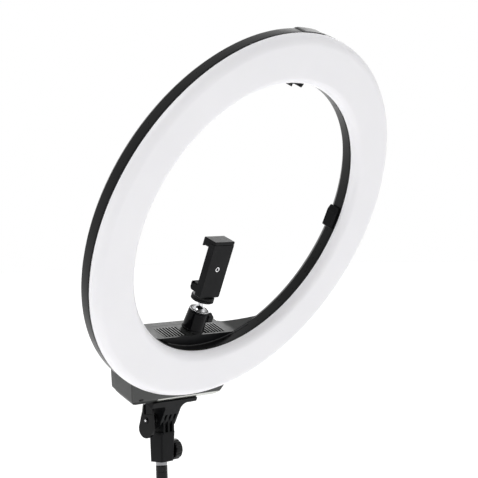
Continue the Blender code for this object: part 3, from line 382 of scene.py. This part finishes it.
def tube_bm(points, radius, sides):
    """A round bead along an open path of points."""
    rings = []
    normal = None
    for i, p in enumerate(points):
        tangent = (points[min(i + 1, len(points) - 1)] - points[max(i - 1, 0)]).normalized()
        if normal is None:
            helper = Vector((0, 0, 1)) if abs(tangent.z) < 0.9 else Vector((1, 0, 0))
            normal = tangent.cross(helper).normalized()
        normal = (normal - tangent * normal.dot(tangent)).normalized()
        side = tangent.cross(normal)
        rings.append([p + (normal * math.cos(t) + side * math.sin(t)) * radius
                      for t in (2 * math.pi * k / sides for k in range(sides))])
    return loft_bm(rings)


def dressed(node, body, slot, width, steps=2, material=None):
    """Stand-in for a CAD node whose shape is right but whose edges need their rounding."""
    mesh = NODES[node].data.copy()
    obj = bpy.data.objects.new(node + "_moulded", mesh)
    bpy.context.scene.collection.objects.link(obj)
    bm = bmesh.new()
    bm.from_mesh(mesh)
    bmesh.ops.remove_doubles(bm, verts=bm.verts, dist=2e-6)
    bmesh.ops.dissolve_limit(bm, angle_limit=math.radians(0.6), verts=bm.verts, edges=bm.edges)
    bm.to_mesh(mesh)
    bm.free()
    mesh.materials.clear()
    mesh.materials.append(MATERIAL[material or slot])
    mesh.shade_smooth()
    bevel = obj.modifiers.new("Edges", 'BEVEL')
    bevel.width = width
    bevel.segments = steps
    bevel.limit_method = 'ANGLE'
    bevel.angle_limit = math.radians(32)
    bevel.use_clamp_overlap = True
    weighted = obj.modifiers.new("Normals", 'WEIGHTED_NORMAL')
    weighted.mode = 'FACE_AREA'
    weighted.weight = 80
    final = evaluated_mesh(obj)
    obj.modifiers.clear()
    obj.data = final
    bpy.data.meshes.remove(mesh)
    return settle(obj, body, (node,))


def finish_node(node, material):
    """A CAD node that shows as it is, with its procedural material."""
    obj = NODES[node]
    if not obj.material_slots:
        obj.data.materials.append(None)
    for place in obj.material_slots:
        place.material = MATERIAL[material]


def axis_place(frame_matrix, point, axis):
    """Matrix that puts a lathe's Z along one of the frame's axes at a point."""
    turn = {'X': Matrix.Rotation(math.radians(90), 4, 'Y'),
            'Y': Matrix.Rotation(math.radians(-90), 4, 'X'),
            '-Y': Matrix.Rotation(math.radians(90), 4, 'X'),
            'Z': Matrix.Identity(4),
            '-Z': Matrix.Rotation(math.radians(180), 4, 'X'),
            '-X': Matrix.Rotation(math.radians(-90), 4, 'Y')}[axis]
    return frame_matrix @ Matrix.Translation(Vector(point)) @ turn


def quarter(edge, flat, rise, steps):
    """Quarter-ellipse from the rim (edge, 0) to the flat (flat, rise)."""
    return [(flat + (edge - flat) * math.cos(t), rise * math.sin(t))
            for t in (math.pi / 2 * k / steps for k in range(steps + 1))]


# ---------------------------------------------------------------- ring
def make_diffuser():
    """Opal shell: a flat front between two quarter-ellipse shoulders."""
    outer_flat = RING_OUTER - DIFFUSER_OUTER_ROUND
    inner_flat = RING_INNER + DIFFUSER_INNER_ROUND
    wall, under = DIFFUSER_WALL, DIFFUSER_RISE - DIFFUSER_WALL
    outer = quarter(RING_OUTER, outer_flat, DIFFUSER_RISE, 14)
    inner = quarter(RING_INNER, inner_flat, DIFFUSER_RISE, 14)[::-1]
    under_inner = quarter(RING_INNER + wall, inner_flat, under, 5)
    under_outer = quarter(RING_OUTER - wall, outer_flat, under, 5)
    front = [(outer_flat - k * 7.5 * MM, DIFFUSER_RISE) for k in (1, 2, 3, 4)]
    profile = outer + front + inner + under_inner + under_outer[::-1]
    settle(turned("diffuser_shell", profile, axis_place(RING_IN_WORLD, (0, 0, 0), '-Y'),
                  "opal_diffuser", segments=256, closed=True, smooth=50),
           "head", ("diffuser",))


def make_housing():
    """Ring housing: satin side walls with a fine seam line, stepped back plate."""
    lip, back, wall = -0.3 * MM, -HOUSING_DEPTH, HOUSING_WALL
    floor = back + 2.5 * MM
    groove = 0.35 * MM
    seam = [(RING_OUTER, -1.5 * MM), (RING_OUTER - groove, -1.7 * MM),
            (RING_OUTER - groove, -2.1 * MM), (RING_OUTER, -2.3 * MM)]
    back_plate = []
    for radius in (RING_OUTER - 13 * MM, RING_INNER + 15 * MM):
        back_plate += [(radius + 0.9 * MM, back), (radius + 0.45 * MM, back + 0.5 * MM),
                       (radius - 0.45 * MM, back + 0.5 * MM), (radius - 0.9 * MM, back)]
    inner_seam = [(RING_INNER, -2.3 * MM), (RING_INNER + groove, -2.1 * MM),
                  (RING_INNER + groove, -1.7 * MM), (RING_INNER, -1.5 * MM)]
    rounded = [(RING_OUTER, back + CHAMFER + 1 * MM), (RING_OUTER - 0.25 * MM, back + CHAMFER),
               (RING_OUTER - CHAMFER + 0.4 * MM, back + 0.3 * MM),
               (RING_OUTER - CHAMFER - 0.8 * MM, back)]
    inner_rounded = [(RING_INNER + CHAMFER + 0.8 * MM, back),
                     (RING_INNER + CHAMFER - 0.4 * MM, back + 0.3 * MM),
                     (RING_INNER + 0.25 * MM, back + CHAMFER),
                     (RING_INNER, back + CHAMFER + 1 * MM)]
    profile = ([(RING_OUTER - 0.3 * MM, lip), (RING_OUTER, lip - 0.3 * MM)] + seam + rounded
               + back_plate + inner_rounded + inner_seam
               + [(RING_INNER, lip - 0.3 * MM), (RING_INNER + 0.3 * MM, lip),
                  (RING_INNER + wall, lip), (RING_INNER + wall, back + CHAMFER),
                  (RING_INNER + CHAMFER, floor), (RING_OUTER - CHAMFER, floor),
                  (RING_OUTER - wall, back + CHAMFER), (RING_OUTER - wall, lip)])
    settle(turned("ring_housing_shell", profile, axis_place(RING_IN_WORLD, (0, 0, 0), '-Y'),
                  "housing", segments=256, closed=True, smooth=28),
           "head", ("ring_housing",))


def cross_screw(name, place, radius, height):
    """Domed steel screw head with a cross recess."""
    profile = [(0, height)] + [(radius * math.sin(t), height * (0.25 + 0.75 * math.cos(t)))
                               for t in (math.pi / 2 * k / 6 for k in range(1, 7))]
    profile += [(radius, 0), (0, 0)]
    bm = lathe_bm(profile, segments=28)
    head = link(name, bm, WORLD, "steel", 40)
    cutters = []
    for turn in (0, math.pi / 2):
        cutter_bm = round_box((radius * 1.15, radius * 0.24, height * 1.2), radius * 0.05, 1)
        cutter = link(name + "_cross", cutter_bm,
                      Matrix.Rotation(turn + 0.4, 4, 'Z') @ Matrix.Translation((0, 0, height)),
                      "steel")
        cut = head.modifiers.new("Cross", 'BOOLEAN')
        cut.operation = 'DIFFERENCE'
        cut.object = cutter
        cutters.append(cutter)
    mesh = evaluated_mesh(head)
    head.modifiers.clear()
    head.data = mesh
    for cutter in cutters:
        bpy.data.objects.remove(cutter, do_unlink=True)
    mesh.transform(place)
    mesh.shade_smooth()
    mesh.set_sharp_from_angle(angle=math.radians(40))
    return head


def make_back_screws():
    """Countersunk screws that close the housing's back, evenly round the ring."""
    count = 10
    radius = 209 * MM
    for i in range(count):
        angle = math.radians(90 + 18 + 36 * i)
        x, z = radius * math.cos(angle), radius * math.sin(angle)
        if z < -150 * MM:       # the control box covers these
            continue
        place = axis_place(RING_IN_WORLD, (x, HOUSING_DEPTH - 0.1 * MM, z), 'Y')
        ring = turned(f"housing_screw_seat_{i + 1}",
                      [(5.2 * MM, 0), (4.9 * MM, 0.6 * MM), (3.6 * MM, 0.6 * MM),
                       (3.2 * MM, 0.05 * MM), (3.2 * MM, 0)],
                      place, "housing", segments=40, closed=True)
        settle(ring, "head")
        settle(cross_screw(f"housing_screw_{i + 1}", place, 2.9 * MM, 0.9 * MM),
               "head")


make_diffuser()
make_housing()
make_back_screws()


# ---------------------------------------------------------------- small pieces
def boxes(name, placed, material, edge, steps=1):
    """Many little rounded bars as one piece: (matrix, size) for each."""
    whole = bmesh.new()
    for place, size in placed:
        part = bpy.data.meshes.new("bar")
        bm = round_box(size, edge, steps)
        bmesh.ops.transform(bm, matrix=place, verts=bm.verts)
        bm.to_mesh(part)
        bm.free()
        whole.from_mesh(part)
        bpy.data.meshes.remove(part)
    return link(name, whole, WORLD, material, 40)


def torus(name, radius, thickness, height, place, material, segments=128):
    """A round wire ring about the lathe axis."""
    profile = [(radius + thickness * math.cos(t), height + thickness * math.sin(t))
               for t in (2 * math.pi * k / 12 for k in range(12))]
    return turned(name, profile, place, material, segments=segments, closed=True, smooth=60)


def make_screws():
    """Cross-recess heads on the rear cover and under the bracket's flange."""
    seats = [(-56, -176), (56, -176), (-69, -240), (69, -240)]
    for i, (x, z) in enumerate(seats, 1):
        place = axis_place(RING_IN_WORLD, (x * MM, 50.3 * MM, z * MM), 'Y')
        settle(cross_screw(f"cover_screw_head_{i}", place, 2.8 * MM, 1.8 * MM), "head",
               (f"cover_screw_{i}",))
    places = [(x, y) for x in (-31, 31) for y in (16, 29)]
    for i, (x, y) in enumerate(places, 1):
        seat = (-264.8 if x < 0 else -262.3) * MM
        place = axis_place(RING_IN_WORLD, (x * MM, y * MM, seat), '-Z')
        settle(cross_screw(f"bracket_screw_head_{i}", place, 2.9 * MM, 1.8 * MM), "head",
               (f"bracket_screw_{i}",))


# ---------------------------------------------------------------- blocks on the rim
def make_block_frames():
    """Raised frame round the sunk middle of each side block."""
    for side, name in ((1, "right"), (-1, "left")):
        face = side * (RING_INNER - BLOCK_PROUD)
        bars = []
        for y, z, width, height in ((3.6, -5.4, 1.5, 19.6), (16.4, -5.4, 1.5, 19.6),
                                    (10, -14.6, 14.3, 1.5), (10, 3.8, 14.3, 1.5)):
            bars.append((RING_IN_WORLD @ Matrix.Translation((face, y * MM, z * MM)),
                         (0.5 * MM, width * MM, height * MM)))
        settle(boxes(f"block_frame_{name}", bars, "black_plastic", 0.15 * MM), "head")


for node in ("rim_block_right", "rim_block_left"):
    dressed(node, "head", "black_plastic", 0.7 * MM, material="deep_black")
make_block_frames()
dressed("rim_block_top", "head", "black_plastic", 0.25 * MM)


def make_top_bracket():
    """Curved plate over the ring's back at twelve o'clock; its lip runs out at both ends."""
    back, over = 20.3 * MM, 240.3 * MM
    bend, lip = 5.4 * MM, 0.65 * MM
    profile = [(over + lip, 1.0 * MM), (over + lip, back - bend + 0.6 * MM),
               (over - bend - 0.6 * MM, back + 2.5 * MM), (174 * MM, back + 2.5 * MM),
               (172.6 * MM, back + 1.2 * MM), (172 * MM, back), (over - bend, back),
               (over, back - bend), (over, 1.0 * MM)]
    rows = []
    start, end, steps = math.asin(-15 / 240), math.asin(26 / 240), 36
    for i in range(steps + 1):
        angle = start + (end - start) * i / steps
        taper = min(1, min(i, steps - i) / 4)
        row = []
        for k, (radius, depth) in enumerate(profile):
            if k in (0, 1):
                radius = over + 0.05 * MM + (radius - over - 0.05 * MM) * taper
            row.append((radius * math.sin(angle), depth, radius * math.cos(angle)))
        rows.append(row)
    settle(link("top_bracket_plate", loft_bm(rows), RING_IN_WORLD, "housing", 30), "head",
           ("top_bracket",))


make_top_bracket()


# ---------------------------------------------------------------- control box
def make_box_trim():
    """Satin edge strip on the chamfer under the box's front, rounded off with its corners."""
    high, low = BOX_CHAMFER_TOP - 0.4 * MM, -256.3 * MM
    corner_x, corner_z = BOX_CORNER
    outward = Vector((0, -0.894, -0.447))
    # the strip starts at x = -34 mm: further left the bracket's shade falls on the chamfer, so
    # the strip is left out there as painted shade
    first, last = -34 * MM, 78.4 * MM
    xs = [first + 1.5 * MM * i for i in range(76)]
    rows = []
    for x in [x for x in xs if x < last] + [last]:
        foot = low
        if x > corner_x:
            foot = corner_z - math.sqrt((13.8 * MM) ** 2 - (x - corner_x) ** 2)
        row = []
        for z, lift in ((high, -0.05), (high - 0.1 * MM, 0.25), (high - 0.5 * MM, 0.4),
                        (foot + 0.5 * MM, 0.4), (foot + 0.1 * MM, 0.25), (foot, -0.05)):
            row.append(Vector((x, BOX_FRONT + (BOX_CHAMFER_TOP - z) * 0.5, z))
                       + outward * lift * MM)
        rows.append(row)
    settle(link("box_edge_strip", loft_bm(rows), RING_IN_WORLD, "satin_trim_and_highlight", 40), "head")


def make_box_hole_shade():
    """Dark oval disc low on the box's front, left of the edge strip: painted shade standing in
    for a hole.
    """
    half, radius = 2.4 * MM, 1.3 * MM
    points = []
    for sign in (1, -1):
        points += [(sign * (half + radius * math.sin(t)), sign * radius * math.cos(t))
                   for t in (math.pi * k / 10 for k in range(11))]
    bm = outline_solid(points, -0.1 * MM, 0.45 * MM, 0.2 * MM)
    place = axis_place(RING_IN_WORLD, (-64.6 * MM, BOX_FRONT, -249 * MM), '-Y')
    settle(link("box_hole_shade", bm, place, "deep_black", 40), "head")


def make_vents():
    """Near-black sheet over each vent slot as painted shade inside it, and a slim rib beside it
    in light grey as a painted highlight.
    """
    slots, ribs = [], []
    for side in (-1, 1):
        for i in range(VENT_COUNT):
            slot = side * (VENT_FIRST + VENT_PITCH * i)
            rib = slot + side * VENT_PITCH / 2
            slots.append((RING_IN_WORLD @ Matrix.Translation((slot, VENT_MIDDLE, SHELF_Z)),
                          (3.9 * MM, 20.4 * MM, 0.4 * MM)))
            ribs.append((RING_IN_WORLD @ Matrix.Translation((rib, VENT_MIDDLE,
                                                             SHELF_Z + 0.1 * MM)),
                         (1.5 * MM, 20.6 * MM, 0.8 * MM)))
    settle(boxes("vent_shade_sheets", slots, "vent_painted_shade", 0.08 * MM), "head")
    settle(boxes("vent_ribs", ribs, "rib_painted_highlight", 0.2 * MM, 2), "head")


def make_cover_marks():
    """Generic scale ticks round both dimmers."""
    reach = 14.2 * MM
    for side, name in DIMMERS:
        ticks = []
        for k in range(11):
            angle = math.radians(225 - 27 * k)
            spot = Vector((side * DIMMER_X + reach * math.cos(angle), COVER_BACK + 0.05 * MM,
                           DIMMER_Z + reach * math.sin(angle)))
            size = (2.4 * MM if k in (0, 5, 10) else 1.5 * MM, 0.2 * MM, 0.5 * MM)
            ticks.append((RING_IN_WORLD @ Matrix.Translation(spot)
                          @ Matrix.Rotation(-angle, 4, 'Y'), size))
        settle(boxes(f"{name}_scale", ticks, "paint_mark", 0.05 * MM), "head")


def make_dimmer_knobs():
    """Fluted knobs with a dished cap and a painted pointer."""
    for side, name in DIMMERS:
        place = axis_place(RING_IN_WORLD, (side * DIMMER_X, COVER_BACK + 0.6 * MM, DIMMER_Z),
                           'Y')
        profile = soft_profile(
            [(0, 13.2 * MM), (7.6 * MM, 13.2 * MM), (8.2 * MM, 14 * MM), (9.6 * MM, 14 * MM),
             (10.6 * MM, 12.6 * MM), (10.9 * MM, 2.4 * MM), (11 * MM, 0.6 * MM),
             (10.8 * MM, 0), (4.3 * MM, 0)], 0.35 * MM)

        def flutes(angle, radius, height):
            return radius - (0.38 * MM * abs(math.sin(16 * angle)) ** 1.5
                             if radius > 9.8 * MM and height > 2.2 * MM else 0)

        body = f"{name}_dial"
        settle(turned(f"{name}_knob_fluted", profile, place, "knob_plastic", segments=256,
                      wave=flutes), body, (f"{name}_knob",))
        mark = (place @ Matrix.Translation((0, -5 * MM, 13.25 * MM)),
                (0.9 * MM, 4.6 * MM, 0.3 * MM))
        settle(boxes(f"{name}_pointer_mark", [mark], "paint_mark", 0.1 * MM), body)


def make_switch_marks():
    """Generic on and off marks on the rocker."""
    bar = (ROCKER_IN_WORLD @ Matrix.Translation((0, 4.1 * MM, 4.8 * MM))
           @ Matrix.Rotation(math.radians(-8.5), 4, 'X'), (0.6 * MM, 0.25 * MM, 3 * MM))
    settle(boxes("rocker_bar", [bar], "paint_mark", 0.05 * MM), "rocker")
    place = (ROCKER_IN_WORLD @ Matrix.Translation((0, 4.12 * MM, -4.8 * MM))
             @ Matrix.Rotation(math.radians(8.5), 4, 'X') @ Matrix.Rotation(math.pi / 2, 4, 'X'))
    settle(torus("rocker_circle", 1.25 * MM, 0.2 * MM, 0, place, "paint_mark", 48), "rocker")


def make_inlet_contacts():
    """Sleeve and pin inside the power inlet."""
    place = axis_place(RING_IN_WORLD, (0, COVER_BACK, INLET_Z), 'Y')
    sleeve = [(2.78 * MM, 1.1 * MM), (2.78 * MM, -8.8 * MM), (2.45 * MM, -8.8 * MM),
              (2.45 * MM, 0.9 * MM)]
    settle(turned("inlet_sleeve", sleeve, place, "chrome", segments=64, closed=True), "head")
    pin = [(0, 0.8 * MM), (0.6 * MM, 0.7 * MM), (1.08 * MM, 0.2 * MM), (1.08 * MM, -8.9 * MM),
           (0, -8.9 * MM)]
    settle(turned("inlet_pin", pin, place, "chrome", segments=48), "head")


def paint_shade_on_lens_wall(box):
    """The box's faces under the shelf's front edge that do not face up take the housing's black
    as painted shade; the lit shelf top keeps the box's grey.
    """
    box.data.materials.append(MATERIAL["black_plastic"])
    back_to_ring = RING_IN_WORLD.inverted() @ box.matrix_world
    turn = back_to_ring.to_3x3()
    for face in box.data.polygons:
        centre, normal = back_to_ring @ face.center, turn @ face.normal
        # faces turned away from the light above get the black: painted shade
        if centre.y < 17 * MM and centre.z > -190 * MM and normal.z < 0.7 and normal.y < 0.3:
            face.material_index = 1


paint_shade_on_lens_wall(dressed("control_box", "head", "box_plastic", 0.45 * MM))


def make_rim_bead():
    """Bead where the wall under the shelf meets the ring's inner rim, lighter than the housing
    as a painted highlight on that crease.
    """
    radius = RING_INNER - 0.3 * MM
    path = []
    for k in range(49):
        angle = math.radians(-106 + 46 * k / 48)
        path.append(Vector((radius * math.cos(angle), 12.6 * MM, radius * math.sin(angle))))
    settle(link("rim_bead", tube_bm(path, 0.5 * MM, 10), RING_IN_WORLD, "bead_painted_highlight", 60),
           "head")


make_rim_bead()
dressed("rear_cover", "head", "box_plastic", 0.5 * MM)
make_box_trim()
make_box_hole_shade()
make_vents()
make_cover_marks()
make_dimmer_knobs()
make_switch_marks()
make_inlet_contacts()
make_screws()
for node in ("brightness_potentiometer", "colour_potentiometer", "brightness_shaft",
             "colour_shaft", "ball_head_screw"):
    finish_node(node, "steel")
finish_node("led_board", "circuit_board")
finish_node("driver_board", "circuit_board")
dressed("switch_frame", "head", "gloss_black", 0.4 * MM)
dressed("switch_rocker", "rocker", "gloss_black", 0.4 * MM)
dressed("power_inlet", "head", "gloss_black", 0.2 * MM)


# ---------------------------------------------------------------- tilt bracket and lever
def make_lever_cap():
    """Glossy domed cap in the lever with a polished rivet in its middle; the rivet's very bright
    metal stands in for the cap's glint as a painted highlight.
    """
    place = axis_place(WORLD, (0, HINGE_Y, HINGE_Z), 'X')
    dome = [(0, -29.3 * MM)] + [(3.9 * MM * math.sin(t), (-27.6 - 1.7 * math.cos(t)) * MM)
                                for t in (math.pi / 2 * k / 8 for k in range(1, 9))]
    dome += [(3.9 * MM, -26.9 * MM), (0, -26.9 * MM)]
    settle(turned("lever_cap_dome", dome, place, "knob_plastic", segments=64), "lever",
           ("lever_cap",))
    rivet = [(0, -30 * MM)] + [(1.5 * MM * math.sin(t), (-29 - math.cos(t)) * MM)
                               for t in (math.pi / 2 * k / 8 for k in range(1, 9))]
    rivet += [(1.5 * MM, -28.4 * MM), (0, -28.4 * MM)]
    settle(turned("lever_cap_rivet", rivet, place, "bright_metal_and_highlight", segments=48), "lever")


def make_lever_bead():
    """Bead of bright satin metal along the paddle's raised rear edge, a painted highlight where
    the glossy edge catches the light.
    """
    path = [Vector((-27.7 * MM, HINGE_Y + y * MM, HINGE_Z + z * MM))
            for y, z in ((9.9, 3.0), (8.6, 6.6), (7.0, 11), (6.2, 15), (5.6, 18.6), (4.6, 19.9))]
    settle(link("lever_bead", tube_bm(path, 0.55 * MM, 12), WORLD, "satin_trim_and_highlight", 60), "lever")


make_lever_bead()
dressed("tilt_bracket", "head", "black_plastic", 0.5 * MM)
dressed("tilt_lever", "lever", "black_plastic", 0.9 * MM, steps=3, material="knob_plastic")
make_lever_cap()
finish_node("tilt_bolt", "steel")
finish_node("tilt_washer", "steel")


# ---------------------------------------------------------------- stand top
def make_tube():
    """Black tube with a rolled seam, and the polished spigot with its shoulder above it."""
    outer, inner, top = TUBE_RADIUS, TUBE_BORE, TUBE_LENGTH
    tube = [(outer - 0.4 * MM, top), (outer, top - 0.4 * MM), (outer, top - 7.6 * MM),
            (outer - 0.2 * MM, top - 7.8 * MM), (outer - 0.2 * MM, top - 8.2 * MM),
            (outer, top - 8.4 * MM), (outer, 0.4 * MM), (outer - 0.4 * MM, 0), (inner, 0),
            (inner, top)]
    settle(turned("stand_tube_rolled", tube, WORLD, "black_tube", segments=96, closed=True),
           "stand", ("stand_tube",))
    spigot = [(0, 157.5 * MM), (6.5 * MM, 157.5 * MM), (7.3 * MM, 156.7 * MM),
              (7.3 * MM, 126.4 * MM), (7.0 * MM, 126 * MM), (7.0 * MM, 125.4 * MM),
              (7.35 * MM, 124.9 * MM), (7.35 * MM, 121.6 * MM), (7.0 * MM, 121.1 * MM),
              (7.0 * MM, 120.6 * MM), (7.3 * MM, 120.3 * MM), (5.9 * MM, 120.3 * MM),
              (5.9 * MM, 92 * MM), (0, 92 * MM)]
    settle(turned("stand_spigot_polished", spigot, WORLD, "ferrule", segments=96,
                  round_to=0.4 * MM), "stand", ("stand_spigot",))


def make_knob_face():
    """Stepped disc on the face of the socket's knob."""
    place = axis_place(WORLD, (0, 0, SOCKET_KNOB_Z), 'X')
    disc = [(0, 27.5 * MM), (4.2 * MM, 27.5 * MM), (4.6 * MM, 28.1 * MM), (7.4 * MM, 28.1 * MM),
            (8 * MM, 27.4 * MM), (8 * MM, 27 * MM), (0, 27 * MM)]
    settle(turned("socket_knob_face", disc, place, "knob_plastic", segments=96,
                  round_to=0.3 * MM), "socket_clamp")


dressed("stand_socket", "socket", "black_plastic", 0.9 * MM)
dressed("socket_knob", "socket_clamp", "black_plastic", 0.8 * MM, steps=3,
        material="knob_plastic")
make_knob_face()
finish_node("socket_knob_screw", "steel")
finish_node("socket_insert", "brass")
make_tube()


# ---------------------------------------------------------------- ball head
def make_collar():
    """Collar in glossy black with two bright wire-thin rings: the black body is painted
    reflection for its dark chrome, the rings are painted highlights on its edges.
    """
    place = axis_place(RING_IN_WORLD, BALL_CENTRE, 'Z')
    body = [(12.7 * MM, 1.35 * MM), (12.7 * MM, 3.3 * MM), (12.3 * MM, 3.9 * MM),
            (10.6 * MM, 4.0 * MM), (9.1 * MM, 3.9 * MM), (8.7 * MM, 3.2 * MM),
            (9.4 * MM, 1.35 * MM)]
    settle(turned("collar_body", body, place, "gloss_black", segments=128, closed=True,
                  round_to=0.3 * MM), "ball_ring", ("ball_collar",))
    settle(torus("collar_outer_highlight", 12.25 * MM, 0.22 * MM, 3.95 * MM, place, "bright_metal_and_highlight"),
           "ball_ring")
    settle(torus("collar_inner_highlight", 8.85 * MM, 0.18 * MM, 4.0 * MM, place, "bright_metal_and_highlight"),
           "ball_ring")


def make_stem():
    """Polished ball with a filleted neck."""
    neck, ball = NECK_RADIUS, BALL_RADIUS
    profile = [(0, 33 * MM), (neck - 0.4 * MM, 33 * MM), (neck, 32.6 * MM), (neck, 10.4 * MM),
               (neck + 0.25 * MM, 9.3 * MM), (neck + 0.9 * MM, 8.3 * MM)]
    first = math.asin((neck + 0.9 * MM) / ball) + 0.05
    profile += [(ball * math.sin(t), ball * math.cos(t))
                for t in (first + (math.pi - first) * k / 30 for k in range(30))]
    profile.append((0, -ball))
    settle(turned("ball_stem_polished", profile, axis_place(CLAMP_IN_WORLD, (0, 0, 0), 'Z'),
                  "chrome", segments=96, smooth=40), "ball", ("ball_stem",))


def make_lock_disc():
    """Knurled disc with a groove between its two grip bands."""
    place = axis_place(CLAMP_IN_WORLD, (0, 0, 0), 'Z')
    profile = soft_profile(
        [(3.3 * MM, 16 * MM), (13.4 * MM, 16 * MM), (14.6 * MM, 16.9 * MM),
         (14.6 * MM, 19.0 * MM), (13.3 * MM, 19.3 * MM), (13.3 * MM, 19.9 * MM),
         (14.6 * MM, 20.2 * MM), (14.6 * MM, 22.3 * MM), (13.8 * MM, 23 * MM),
         (3.3 * MM, 23 * MM)], 0.25 * MM, closed=True)

    def knurl(angle, radius, height):
        return radius - (0.42 * MM * (0.5 + 0.5 * math.cos(40 * angle))
                         if radius > 14 * MM else 0)

    settle(turned("lock_disc_knurled", profile, place, "housing", segments=320, closed=True,
                  wave=knurl), "lock_disc", ("clamp_lock_disc",))


def make_lock_knob():
    """Lobed hand knob on the ball head's side with a dished cap."""
    ball_x, ball_y, ball_z = BALL_CENTRE
    place = axis_place(RING_IN_WORLD, (ball_x, ball_y, ball_z - 9.7 * MM), 'X')
    profile = soft_profile(
        [(0, 25.2 * MM), (3.2 * MM, 25.2 * MM), (3.7 * MM, 25.9 * MM), (5.6 * MM, 25.9 * MM),
         (6.8 * MM, 25 * MM), (6.8 * MM, 17.7 * MM), (5.9 * MM, 16.9 * MM), (4 * MM, 16.4 * MM),
         (4 * MM, 14.8 * MM), (2.3 * MM, 14.8 * MM)], 0.4 * MM)

    def lobes(angle, radius, height):
        return radius * (1 - 0.13 * (0.5 - 0.5 * math.cos(6 * angle))
                         if radius > 5.2 * MM else 1)

    settle(turned("ball_lock_lobed", profile, place, "knob_plastic", segments=144, wave=lobes),
           "ball_lock", ("ball_lock_knob",))


finish_node("ball_lock_screw", "steel")
dressed("ball_head", "head", "gloss_black", 0.4 * MM)
make_collar()
make_stem()
make_lock_disc()
make_lock_knob()


# ---------------------------------------------------------------- clamp
def make_insert():
    """Threaded insert: bright rolled lip; its thread is near-black as painted shade in the bore.
    """
    place = axis_place(CLAMP_IN_WORLD, (0, -10.3 * MM, 61.5 * MM), '-Y')
    lip = [(3.3 * MM, -3.2 * MM), (3.3 * MM, 0.1 * MM), (3.0 * MM, 0.4 * MM),
           (2.3 * MM, 0.4 * MM), (1.9 * MM, 0), (1.9 * MM, -3.2 * MM)]
    settle(turned("insert_lip", lip, place, "bright_metal_and_highlight", segments=64, closed=True,
                  round_to=0.2 * MM), "clamp", ("clamp_insert",))
    turns = []
    for k in range(90):
        angle = 2 * math.pi * k / 18
        turns.append(place @ Vector((1.85 * MM * math.cos(angle), 1.85 * MM * math.sin(angle),
                                     -0.4 * MM - 0.5 * MM * k / 18)))
    settle(link("insert_thread", tube_bm(turns, 0.2 * MM, 6), WORLD, "bore_painted_shade", 60), "clamp")


dressed("clamp_body", "clamp", "black_plastic", 0.3 * MM)
dressed("upper_jaw", "jaw", "black_plastic", 0.3 * MM)
make_insert()
for node in ("clamp_rod_left", "clamp_rod_right", "clamp_spring"):
    finish_node(node, "steel")
for node in ("lower_pad", "upper_pad"):
    finish_node(node, "rubber")


# ---------------------------------------------------------------- stage
def make_floor():
    """Pale floor that is almost as light as the room."""
    shader = Shader("floor_paint")
    shader.mix(shader.noise(3, 3), (0.60, 0.60, 0.60), (0.64, 0.64, 0.64))
    shader.rough(shader.noise(20, 3), 0.6, 0.8)
    shader.principled.inputs["Emission Color"].default_value = (1, 1, 1, 1)
    shader.principled.inputs["Emission Strength"].default_value = 0.62
    bm = bmesh.new()
    bmesh.ops.create_grid(bm, x_segments=8, y_segments=8, size=12)
    mesh = bpy.data.meshes.new("floor")
    bm.to_mesh(mesh)
    bm.free()
    mesh.materials.append(shader.material)
    floor = bpy.data.objects.new("floor", mesh)
    floor.location = (0, 0, cad_box[0][2] - 0.0005)
    bpy.context.scene.collection.objects.link(floor)


def make_room():
    """White studio room whose dim side, in front of the set, only reflections see."""
    world = bpy.data.worlds.new("studio")
    bpy.context.scene.world = world
    world.use_nodes = True
    tree = world.node_tree
    seen = tree.nodes["Background"]
    seen.inputs["Color"].default_value = (1, 1, 1, 1)
    seen.inputs["Strength"].default_value = 1.0
    direction = tree.nodes.new("ShaderNodeTexCoord")
    facing = tree.nodes.new("ShaderNodeVectorMath")
    facing.operation = 'DOT_PRODUCT'
    facing.inputs[1].default_value = (-0.70, -0.70, 0.10)
    fade = tree.nodes.new("ShaderNodeMapRange")
    fade.interpolation_type = 'SMOOTHSTEP'
    for socket, value in (("From Min", 0.0), ("From Max", 0.9), ("To Min", 1.0),
                          ("To Max", 0.08)):
        fade.inputs[socket].default_value = value
    room = tree.nodes.new("ShaderNodeBackground")
    room.inputs["Color"].default_value = (1, 1, 1, 1)
    path = tree.nodes.new("ShaderNodeLightPath")
    blend = tree.nodes.new("ShaderNodeMixShader")
    tree.links.new(direction.outputs["Generated"], facing.inputs[0])
    tree.links.new(facing.outputs["Value"], fade.inputs["Value"])
    tree.links.new(fade.outputs["Result"], room.inputs["Strength"])
    tree.links.new(path.outputs["Is Camera Ray"], blend.inputs["Fac"])
    tree.links.new(room.outputs["Background"], blend.inputs[1])
    tree.links.new(seen.outputs["Background"], blend.inputs[2])
    tree.links.new(blend.outputs["Shader"], tree.nodes["World Output"].inputs["Surface"])


def area_light(name, location, target, size, power):
    """Square soft box aimed at a point."""
    data = bpy.data.lights.new(name, 'AREA')
    data.size = size
    data.energy = power
    obj = bpy.data.objects.new(name, data)
    bpy.context.scene.collection.objects.link(obj)
    obj.location = location
    obj.rotation_euler = (Vector(target) - Vector(location)).to_track_quat('-Z', 'Y').to_euler()


def make_camera():
    """Long lens, low, from the front left."""
    data = bpy.data.cameras.new("camera")
    data.lens = 120.502
    data.sensor_width = 36
    data.clip_start, data.clip_end = 0.05, 60
    camera = bpy.data.objects.new("camera", data)
    right = Vector((0.6644277, -0.74668068, -0.0316828))
    up = Vector((0.02616051, -0.01913052, 0.99947469))
    back = right.cross(up)
    camera.matrix_world = Matrix((
        (right.x, up.x, back.x, -1.44095432),
        (right.y, up.y, back.y, -1.4261185),
        (right.z, up.z, back.z, 0.41713874),
        (0, 0, 0, 1)))
    bpy.context.scene.collection.objects.link(camera)
    bpy.context.scene.camera = camera


make_floor()
make_room()
area_light("key", (-1.5, -0.6, 1.9), (0, -0.1, 0.35), size=1.0, power=14)
area_light("rim", (1.6, 0.9, 1.5), (0, 0, 0.30), size=0.9, power=3)
make_camera()
bpy.context.scene.view_settings.view_transform = 'Standard'
